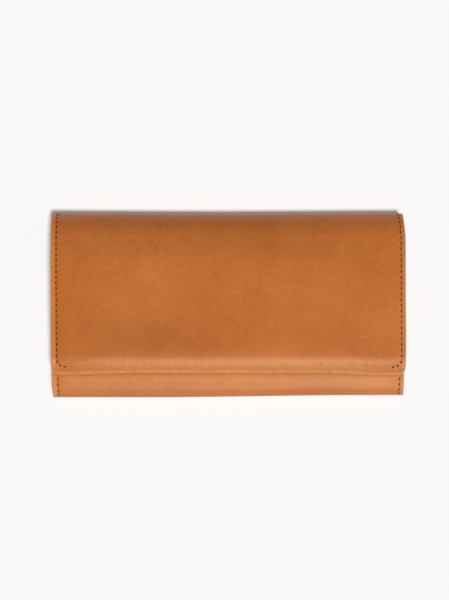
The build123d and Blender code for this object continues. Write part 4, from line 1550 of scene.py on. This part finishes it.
@dataclass
class Gussets:
    """Four folded side walls, each a V of thin leather sewn to the panels on both sides of it."""

    pocket: CoinPocket
    wardrobe: Wardrobe
    thickness: float = 0.5 * MM
    valley: float = 79.6 * MM
    reach: float = 14.6 * MM
    leg: float = 11.5 * MM
    hem: float = 0.14 * MM
    ends: tuple[float, float] = (-40.0 * MM, 28.5 * MM)

    def rear_levels(self, x: float, y: float) -> tuple[float, float]:
        """The heights that a rear gusset spans at y."""
        p = self.pocket.outer.pattern
        low = p.leather + p.lining + 2 * self.pocket.wall
        high = self.pocket.face(self.pocket.half, y, -1.0).z
        return low + self.thickness / 2 + self.hem, high - self.thickness / 2

    def front_levels(self, x: float, y: float) -> tuple[float, float]:
        """The heights that a front gusset spans at y."""
        p = self.pocket.outer.pattern
        low = self.pocket.face(self.pocket.half, y, 1.0, 2 * self.pocket.wall).z
        s = (p.mouth_y - y) / math.cos(math.radians(p.front_slope))
        high = self.pocket.outer.place(x, s, p.leather + p.lining).z
        return low + self.thickness / 2 + self.hem, high - self.thickness / 2

    def make_one(self, name: str, side: int, levels: Callable[[float, float], tuple[float, float]],
                 bodies: tuple[str, str], slope: float) -> None:
        """One gusset.

        Args:
            name: rear or front.
            side: -1 left, 1 right.
            levels: takes x and y to the two heights that it spans.
            bodies: the two bodies that it joins.
            slope: the mean slope of the two panels, in degrees.
        """
        low_y, high_y = self.ends
        label = f"{name}_{'left' if side < 0 else 'right'}"

        def curve(d: float, s: float) -> Vector:
            x = side * (self.valley + math.hypot(d, 1.0 * MM) - 1.0 * MM)
            y = low_y + s
            z0, z1 = levels(x, y)
            rise = math.sin(math.pi / 2 * min(max(d / self.leg, -1.0), 1.0))
            crease = 0.15 * MM * noise.noise(Vector((d * 90, y * 60, side * 3.0)))
            return Vector((x, y, (z0 + z1) / 2 + (z1 - z0) / 2 * rise + crease * (1 - abs(rise))))

        columns = edged_columns(self.reach, [0.0, 0.1 * MM, 0.4 * MM, 1.2 * MM], 0.7 * MM)
        rows = spaced(0, high_y - low_y - 0.6 * MM, 2.2 * MM) + [high_y - low_y - 0.2 * MM, high_y - low_y]
        sheet = Sheet("gusset_" + label + "_leather", columns, rows, -self.thickness / 2, self.thickness,
                      lambda s: self.reach, 0.2 * MM, (0.0, 0.3 * MM))
        piece = sheet.build(laid(curve))
        self.wardrobe.dress(piece, Finish.INNER)
        z0, z1 = levels(side * self.pocket.half, 0.0)
        normal = Vector((0.0, -math.sin(math.radians(slope)), math.cos(math.radians(slope))))
        start = Vector((0.0, 0.0, z0))
        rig.blend(piece, *bodies, start, start + normal * (z1 - z0))
        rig.replaces(piece, "gusset_" + label)

    def make(self) -> None:
        """Builds all four."""
        for side in (-1, 1):
            self.make_one("rear", side, self.rear_levels, ("back", "coin_pocket"), 1.3)
            self.make_one("front", side, self.front_levels, ("coin_pocket", "front_panel"), 4.2)


# ---------------------------------------------------------------- metal

def rounded_box(mesh: bmesh.types.BMesh, centre: Sequence[float], size: Sequence[float], rounding: float,
                segments: int = 2) -> list[bmesh.types.BMVert]:
    """Adds a box with rounded edges.

    Args:
        mesh: the bmesh that it is added to.
        centre: its middle.
        size: its full sizes.
        rounding: how wide its rounded edges are.
        segments: how many faces cross each of them.

    Returns:
        Its vertices.
    """
    known = set(mesh.verts)
    made = bmesh.ops.create_cube(mesh, size=1.0)["verts"]
    bmesh.ops.scale(mesh, verts=made, vec=size)
    bmesh.ops.translate(mesh, verts=made, vec=centre)
    edges = list({edge for vertex in made for edge in vertex.link_edges})
    bmesh.ops.bevel(mesh, geom=edges, offset=rounding, segments=segments, profile=0.5, affect="EDGES",
                    material=-1)
    return [vertex for vertex in mesh.verts if vertex not in known]


def turned(profile: Sequence[tuple[float, float]], steps: int = 56) -> bmesh.types.BMesh:
    """A turned solid.

    Args:
        profile: (radius, height) points from the axis on top to the axis underneath.
        steps: how many faces go round.

    Returns:
        The new bmesh, with its axis along Z.
    """
    mesh = bmesh.new()
    points = [mesh.verts.new((radius, 0.0, height)) for radius, height in profile]
    edges = [mesh.edges.new(pair) for pair in zip(points, points[1:])]
    bmesh.ops.spin(mesh, geom=points + edges, cent=(0, 0, 0), axis=(0, 0, 1), angle=2 * math.pi, steps=steps,
                   use_merge=True)
    bmesh.ops.remove_doubles(mesh, verts=mesh.verts[:], dist=0.002 * MM)
    bmesh.ops.recalc_face_normals(mesh, faces=mesh.faces[:])
    return mesh


def arc_points(centre: tuple[float, float], radius: float, start: float, end: float, count: int = 5) -> list:
    """Points of an arc between two angles in degrees."""
    angles = [math.radians(start + (end - start) * n / (count - 1)) for n in range(count)]
    return [(centre[0] + radius * math.cos(a), centre[1] + radius * math.sin(a)) for a in angles]


@dataclass
class Zip:
    """The coin pocket's zip: two woven tapes, metal teeth, stops, a slider and its pull."""

    pocket: CoinPocket
    wardrobe: Wardrobe
    plane: float = 27.4 * MM
    tape: float = 0.4 * MM
    tape_half: float = 84.0 * MM
    tape_depth: float = 6.0 * MM
    tooth: tuple[float, float, float] = (1.0 * MM, 1.4 * MM, 1.45 * MM)
    pitch: float = 2.0 * MM
    gap: float = 0.8 * MM
    chain_half: float = 76.0 * MM
    slider_x: float = -70.0 * MM

    def __post_init__(self) -> None:
        """Works out the heights that the pieces share."""
        self.middle = Vector((0.0, self.plane - self.tape / 2, self.pocket.pivot.z))
        self.edge = self.gap / 2 + self.tooth[2]

    def finish(self, mesh: bmesh.types.BMesh, name: str, finish: Finish, body: str,
               *nodes: str) -> bpy.types.Object:
        """Lays a level mesh in the wallet and dresses it.

        Args:
            mesh: the bmesh, modelled on the level pocket.
            name: the piece's name.
            finish: what it is made of.
            body: the body that it rides on.
            nodes: the CAD nodes that it stands for.

        Returns:
            The piece.
        """
        for vertex in mesh.verts:
            vertex.co = self.pocket.lay(vertex.co)
        piece = piece_from(mesh, name)
        self.wardrobe.dress(piece, finish)
        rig.ride(piece, body)
        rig.replaces(piece, *nodes)
        return piece

    def make_tape(self, name: str, sign: int) -> None:
        """One tape: sewn inside its wall, turned over at the mouth and across it to the teeth."""
        pocket = self.pocket
        round_over = 0.45 * MM
        arc = round_over * math.pi / 2
        rise = self.tape_depth

        def curve(x: float, s: float) -> Vector:
            wall = pocket.half_depth(self.plane) * pocket.fullness(x) - pocket.wall - 0.04 * MM
            tuck = 3.0 * MM * smooth(abs(x), 79 * MM, 84 * MM)
            top = self.plane - tuck
            inner = min(self.gap / 2 + 0.5 * MM, wall - round_over - 0.05 * MM)
            if s < rise:
                y, z = top - round_over - rise + s, wall
            elif s < rise + arc:
                a = (s - rise) / round_over
                y, z = top - round_over + round_over * math.sin(a), wall - round_over * (1 - math.cos(a))
            else:
                share = (s - rise - arc) / (3.4 * MM - pocket.wall - round_over - self.gap / 2)
                y, z = top, wall - round_over - (wall - round_over - inner) * share
            return pocket.lay(Vector((x, y, self.middle.z + sign * z)))

        length = rise + arc + 3.4 * MM - pocket.wall - round_over - self.gap / 2
        rows = spaced(0, rise, 1.2 * MM)[:-1] + spaced(rise, rise + arc, 0.18 * MM)[:-1]
        rows += spaced(rise + arc, length, 0.4 * MM)
        columns = edged_columns(self.tape_half, [0.0, 0.3 * MM, 1 * MM, 2 * MM, 3 * MM, 4 * MM, 5 * MM],
                                2 * MM)
        sheet = Sheet(f"tape_{name}", columns, rows, 0.0, self.tape, lambda s: self.tape_half, 0.2 * MM)
        piece = sheet.build(laid(curve, float(sign)))
        self.wardrobe.dress(piece, Finish.TAPE)
        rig.ride(piece, "coin_pocket")
        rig.replaces(piece, f"zip_tape_{name}")

    def make_teeth(self, name: str, sign: int) -> None:
        """One row of teeth, each a rounded block with a nib that faces the other row."""
        base = bmesh.new()
        rounded_box(base, (0, 0, 0), self.tooth, 0.14 * MM, 1)
        nib = bmesh.ops.create_cone(base, cap_ends=True, segments=8, radius1=0.30 * MM, radius2=0.18 * MM,
                                    depth=0.16 * MM)["verts"]
        bmesh.ops.translate(base, verts=nib, vec=(0, 0, self.tooth[2] / 2 + 0.05 * MM))
        if sign > 0:
            bmesh.ops.rotate(base, verts=base.verts[:], cent=(0, 0, 0),
                             matrix=Matrix.Rotation(math.pi, 3, "X"))
        pattern = bpy.data.meshes.new("tooth")
        base.to_mesh(pattern)
        base.free()
        row = bmesh.new()
        count = int(2 * self.chain_half / self.pitch) - 1
        first = -self.chain_half + self.pitch * (0.5 if sign > 0 else 1.0)
        z = self.middle.z + sign * (self.gap + self.tooth[2]) / 2
        for n in range(count):
            known = len(row.verts)
            row.from_mesh(pattern)
            row.verts.ensure_lookup_table()
            bmesh.ops.translate(row, verts=row.verts[known:], vec=(first + n * self.pitch, self.middle.y, z))
        bpy.data.meshes.remove(pattern)
        self.finish(row, f"teeth_{name}", Finish.BRASS, "coin_pocket", f"zip_teeth_{name}")

    def make_stops(self) -> None:
        """Two top stops and one bottom stop."""
        mesh = bmesh.new()
        x = self.chain_half + 1.5 * MM
        for sign in (-1, 1):
            z = self.middle.z + sign * (self.gap + self.tooth[2]) / 2
            rounded_box(mesh, (-x, self.middle.y, z), (1.8 * MM, 1.6 * MM, self.tooth[2]), 0.3 * MM)
        rounded_box(mesh, (x, self.middle.y, self.middle.z), (1.8 * MM, 1.6 * MM, 2 * self.edge), 0.3 * MM)
        self.finish(mesh, "stops", Finish.BRASS, "coin_pocket", "zip_stops")

    def make_slider(self) -> None:
        """The slider: two waisted plates, a wedge, four lips and an arched crown."""
        mesh = bmesh.new()
        length, wide, plate = 8.0 * MM, 4.7 * MM, 0.7 * MM
        clear = self.tooth[1] / 2 + 0.3 * MM
        x0, y0, z0 = self.slider_x, self.middle.y, self.middle.z
        for sign in (-1, 1):
            made = rounded_box(mesh, (x0, y0 + sign * (clear + plate / 2), z0), (length, plate, wide),
                               0.22 * MM, 3)
            for lip in (-1, 1):
                centre = (x0, y0 + sign * (clear - 0.275 * MM), z0 + lip * (wide / 2 - 0.2 * MM))
                made += rounded_box(mesh, centre, (length, 0.6 * MM, 0.4 * MM), 0.1 * MM)
            for vertex in made:
                along = (vertex.co.x - x0) / length
                vertex.co.z = z0 + (vertex.co.z - z0) * (1 - 0.03 * smooth(along, -0.1, 0.5))
        rounded_box(mesh, (x0 - 2.75 * MM, y0, z0), (2.4 * MM, 2 * clear, 0.48 * MM), 0.1 * MM)
        profile = bmesh.ops.create_grid(mesh, x_segments=1, y_segments=1, size=0.5)["verts"]
        bmesh.ops.scale(mesh, verts=profile, vec=(0.5 * MM, 1.2 * MM, 1.0))
        bmesh.ops.rotate(mesh, verts=profile, cent=(0, 0, 0), matrix=Matrix.Rotation(math.pi / 2, 3, "X"))
        foot = y0 + clear + plate - 0.05 * MM
        bmesh.ops.translate(mesh, verts=profile, vec=(x0 + 2.15 * MM, foot, z0))
        faces = list({face for vertex in profile for face in vertex.link_faces})
        known = set(mesh.verts) - set(profile)
        bmesh.ops.spin(mesh, geom=faces, cent=(x0, foot, z0), axis=(0, 0, 1), angle=math.pi, steps=14)
        for vertex in mesh.verts:
            if vertex not in known:
                vertex.co.y = foot + (vertex.co.y - foot) * 0.68
        bmesh.ops.recalc_face_normals(mesh, faces=mesh.faces[:])
        self.finish(mesh, "slider", Finish.BRASS, "zip_slider", "zip_slider")

    def make_pull(self) -> None:
        """The pull: a bar through the crown, two arms and a tab with a sunk panel."""
        mesh = bmesh.new()
        clear = self.tooth[1] / 2 + 0.3 * MM
        x0, y0, z0 = self.slider_x, self.middle.y + clear + 0.7 * MM + 0.55 * MM, self.middle.z
        bmesh.ops.create_cone(mesh, cap_ends=True, segments=18, radius1=0.38 * MM, radius2=0.38 * MM,
                              depth=3.9 * MM,
                              matrix=Matrix.Translation((x0, y0, z0)))
        for sign in (-1, 1):
            rounded_box(mesh, (x0 + 2.3 * MM, y0, z0 + sign * 1.45 * MM), (5.2 * MM, 0.8 * MM, 1.1 * MM),
                        0.22 * MM, 3)
        tab = rounded_box(mesh, (x0 + 9.4 * MM, y0, z0), (10 * MM, 0.8 * MM, 4.4 * MM), 0.25 * MM, 3)
        for vertex in tab:
            along = (vertex.co.x - x0 - 9.4 * MM) / (5 * MM)
            narrowed = math.sqrt(max(1 - 0.8 * smooth(along, 0.45, 1.0) ** 2, 0.05))
            vertex.co.z = z0 + (vertex.co.z - z0) * narrowed
        for sign in (-1, 1):
            rounded_box(mesh, (x0 + 9.0 * MM, y0 + sign * 0.38 * MM, z0), (5.5 * MM, 0.14 * MM, 2.4 * MM),
                        0.06 * MM)
        self.finish(mesh, "pull", Finish.BRASS, "zip_pull", "zip_pull")

    def make_mouth_stitches(self) -> None:
        """The row that sews each tape to its wall, just below the mouth."""
        pocket = self.pocket
        shape = self.pocket.outer.stitch
        below, reach, pitch = 3.0 * MM, 74 * MM, 3.0 * MM
        for name, sign in (("rear", -1), ("front", 1)):
            stitches = [Stitch(x, below, math.pi / 2) for x in spaced(-reach, reach, pitch)]

            def curve(x: float, s: float, side: float = float(sign)) -> Vector:
                return pocket.face(x, pocket.mouth_y - s, side)

            piece = shape.sew(f"mouth_stitches_{name}", stitches, laid(curve, float(-sign)),
                              lambda x, s: 0.05 * MM)
            self.wardrobe.dress(piece, Finish.THREAD)
            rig.ride(piece, "coin_pocket")

    def make(self) -> None:
        """Builds the whole zip."""
        for name, sign in (("rear", -1), ("front", 1)):
            self.make_tape(name, sign)
            self.make_teeth(name, sign)
        self.make_stops()
        self.make_slider()
        self.make_pull()
        self.make_mouth_stitches()


@dataclass
class Snap:
    """The magnetic snap: a cup on the front panel and a stud on the flap, each held by two legs."""

    outer: OuterLeather
    wardrobe: Wardrobe
    y: float = -18.0 * MM
    gap: float = 2.82 * MM
    radius: float = 7.25 * MM
    cup_height: float = 1.9 * MM
    hole: float = 2.35 * MM
    stud_radius: float = 1.85 * MM
    plate: float = 0.8 * MM
    stud_top: float = 2.2 * MM

    def legs(self, mesh: bmesh.types.BMesh) -> None:
        """Two legs through the leather."""
        for side in (-1, 1):
            rounded_box(mesh, (side * 4.5 * MM, 0, -0.7 * MM), (0.5 * MM, 2.5 * MM, 1.6 * MM), 0.08 * MM)

    def stand(self, mesh: bmesh.types.BMesh, origin: Vector, up: Vector) -> None:
        """Stands a mesh on a place, with its Z axis along up."""
        turn = up.to_track_quat("Z", "Y").to_matrix()
        for vertex in mesh.verts:
            vertex.co = origin + turn @ vertex.co

    def make_cup(self) -> None:
        """The cup, with a sunk ring and a round hole for the stud."""
        p = self.outer.pattern
        top = self.cup_height
        profile = [(0.0, 0.3 * MM), (self.hole - 0.15 * MM, 0.3 * MM), (self.hole, 0.45 * MM),
                   (self.hole, top - 0.3 * MM)]
        profile += arc_points((self.hole + 0.3 * MM, top - 0.3 * MM), 0.3 * MM, 180, 90)
        profile += [(4.4 * MM, top), (4.6 * MM, top - 0.14 * MM), (4.9 * MM, top - 0.14 * MM),
                    (5.1 * MM, top)]
        profile += arc_points((self.radius - 0.6 * MM, top - 0.6 * MM), 0.6 * MM, 90, 0, 7)
        profile += [(self.radius, 0.1 * MM), (self.radius - 0.1 * MM, 0.0), (0.0, 0.0)]
        mesh = turned(profile)
        self.legs(mesh)
        s = (p.mouth_y - self.y) / math.cos(math.radians(p.front_slope))
        _, _, a = p.path.at(s)
        self.stand(mesh, p.path.place(0.0, s, 0.0), Vector((0.0, math.sin(a), -math.cos(a))))
        piece = piece_from(mesh, "snap_cup")
        self.wardrobe.dress(piece, Finish.SNAP)
        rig.ride(piece, "front_panel")
        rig.replaces(piece, "snap_socket")

    def make_stud(self) -> None:
        """The stud on its plate, with a waist and a dimple on top."""
        p = self.outer.pattern
        slope = math.radians(p.front_slope)
        target = self.y - self.gap * math.sin(slope)
        low, high = p.s_flap, p.s_tip
        for _ in range(40):
            middle = (low + high) / 2
            beyond = p.path.place(0, middle, p.flap_thickness).y > target
            low, high = (middle, high) if beyond else (low, middle)
        profile = [(0.0, self.stud_top - 0.15 * MM), (0.7 * MM, self.stud_top - 0.1 * MM),
                   (1.1 * MM, self.stud_top)]
        profile += arc_points((self.stud_radius - 0.4 * MM, self.stud_top - 0.4 * MM), 0.4 * MM, 90, 0)
        profile += [(self.stud_radius - 0.1 * MM, 1.3 * MM), (self.stud_radius, 1.0 * MM),
                    (2.3 * MM, self.plate)]
        profile += [(4.6 * MM, self.plate), (4.8 * MM, 0.68 * MM), (5.1 * MM, 0.68 * MM),
                    (5.3 * MM, self.plate)]
        profile += arc_points((self.radius - 0.45 * MM, self.plate - 0.45 * MM), 0.45 * MM, 90, 0)
        profile += [(self.radius, 0.0), (0.0, 0.0)]
        mesh = turned(profile)
        self.legs(mesh)
        _, _, a = p.path.at(low)
        self.stand(mesh, p.path.place(0.0, low, p.flap_thickness), Vector((0.0, -math.sin(a), math.cos(a))))
        piece = piece_from(mesh, "snap_post")
        self.wardrobe.dress(piece, Finish.SNAP)
        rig.ride(piece, "flap")
        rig.replaces(piece, "snap_stud")

    def make(self) -> None:
        """Builds both halves and dresses the washers and the magnet."""
        self.make_cup()
        self.make_stud()
        self.wardrobe.dress_node("snap_magnet", Finish.MAGNET)
        for node in ("snap_socket_washer", "snap_stud_washer"):
            self.wardrobe.dress_node(node, Finish.SNAP)


# ---------------------------------------------------------------- the studio

@dataclass
class Studio:
    """A pale floor, soft lights and the camera straight above."""

    view_height: float = 322.1 * MM
    camera_height: float = 1.15
    centre: tuple[float, float] = (-1.99 * MM, 2.82 * MM)

    def make_floor(self) -> bpy.types.Object:
        """The floor, a wide sheet that glows a little as an overexposed backdrop does."""
        mesh = bmesh.new()
        bmesh.ops.create_grid(mesh, x_segments=4, y_segments=4, size=4.0)
        bmesh.ops.translate(mesh, verts=mesh.verts[:], vec=(0, 0, CAD_BOX[0].z - 0.05 * MM))
        floor = piece_from(mesh, "floor", shade_smooth=False)
        g = Graph("pale_floor")
        tint = g.noise(g.object_place(), 3.0, 2.0, 0.5)
        colour = g.mix((tint - 0.5) * 0.1 + 0.5, (0.88, 0.88, 0.88), (0.9, 0.9, 0.9))
        floor.data.materials.append(g.dress(Base_Color=colour, Roughness=1.0, Specular_IOR_Level=0.0,
                                            Emission_Color=(1.0, 1.0, 1.0), Emission_Strength=0.15))
        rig.stage(floor)
        return floor

    def area(self, name: str, place: tuple[float, float, float], size: tuple[float, float],
             power: float, colour: Colour = (1.0, 1.0, 1.0)) -> bpy.types.Object:
        """A soft box aimed at the wallet."""
        lamp = bpy.data.lights.new(name, "AREA")
        lamp.shape, lamp.size, lamp.size_y = "RECTANGLE", size[0], size[1]
        lamp.energy, lamp.color = power, colour
        lamp_object = bpy.data.objects.new(name, lamp)
        bpy.context.scene.collection.objects.link(lamp_object)
        lamp_object.location = place
        lamp_object.rotation_euler = (-Vector(place)).to_track_quat("-Z", "Y").to_euler()
        return lamp_object

    def sun(self, name: str, lean: tuple[float, float], spread: float, strength: float) -> bpy.types.Object:
        """A broad overhead light that leans a few degrees along X and Y."""
        lamp = bpy.data.lights.new(name, "SUN")
        lamp.energy, lamp.angle = strength, math.radians(spread)
        lamp_object = bpy.data.objects.new(name, lamp)
        bpy.context.scene.collection.objects.link(lamp_object)
        towards = Vector((math.tan(math.radians(lean[0])), math.tan(math.radians(lean[1])), 1.0))
        lamp_object.rotation_euler = towards.to_track_quat("Z", "Y").to_euler()
        return lamp_object

    def spare_floor(self, lamps: Iterable[bpy.types.Object], floor: bpy.types.Object) -> None:
        """Keeps the soft boxes off the floor, so that only the overhead light casts a shadow there."""
        spared = bpy.data.collections.new("spared_by_soft_boxes")
        spared.objects.link(floor)
        spared.collection_objects[0].light_linking.link_state = "EXCLUDE"
        for lamp in lamps:
            lamp.light_linking.receiver_collection = spared

    def make_camera(self) -> None:
        """The camera, high above and looking straight down."""
        data = bpy.data.cameras.new("camera")
        data.sensor_width = 36.0
        top = CAD_BOX[1].z
        data.lens = data.sensor_width * self.camera_height / self.view_height
        data.clip_end = 10.0
        camera = bpy.data.objects.new("camera", data)
        camera.location = (*self.centre, top + self.camera_height)
        bpy.context.scene.collection.objects.link(camera)
        bpy.context.scene.camera = camera

    def make(self) -> None:
        """Builds the studio."""
        floor = self.make_floor()
        key = self.area("key_box", (0.45, -1.0, 0.95), (1.5, 0.5), 12.0, (1.0, 0.98, 0.91))
        fill = self.area("fill_box", (-0.3, 0.9, 1.4), (1.6, 1.6), 2.6)
        overhead = self.sun("overhead", (6.5, -10.0), 10.0, 2.65)
        for lamp in (fill, overhead):
            lamp.visible_glossy = False
        self.spare_floor((key, fill), floor)
        world = bpy.data.worlds.new("studio_air")
        world.use_nodes = True
        background = world.node_tree.nodes["Background"]
        background.inputs["Color"].default_value = (1.0, 1.0, 1.0, 1.0)
        background.inputs["Strength"].default_value = 0.06
        bpy.context.scene.world = world
        self.make_camera()
        bpy.context.scene.view_settings.view_transform = "Standard"
        LOG.info("studio ready")


def write_sizes() -> None:
    """Writes the CAD box and the visual model's box, in metres."""
    boxes = {"cad": [list(corner) for corner in CAD_BOX], "visual": [list(corner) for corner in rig.bounds()]}
    with open("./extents.json", "w") as out:
        json.dump(boxes, out, indent=1)


def main() -> None:
    """Builds the wallet and its studio."""
    logging.basicConfig(level=logging.INFO, format="%(name)s: %(message)s")
    pattern, wardrobe = Pattern(), Wardrobe()
    studio = Studio()
    studio.make()
    outer = OuterLeather(pattern, wardrobe)
    outer.make()
    Linings(outer, wardrobe).make()
    pocket = CoinPocket(outer, wardrobe)
    pocket.make()
    Gussets(pocket, wardrobe).make()
    Zip(pocket, wardrobe).make()
    Snap(outer, wardrobe).make()
    write_sizes()


if __name__ == "__main__":
    main()
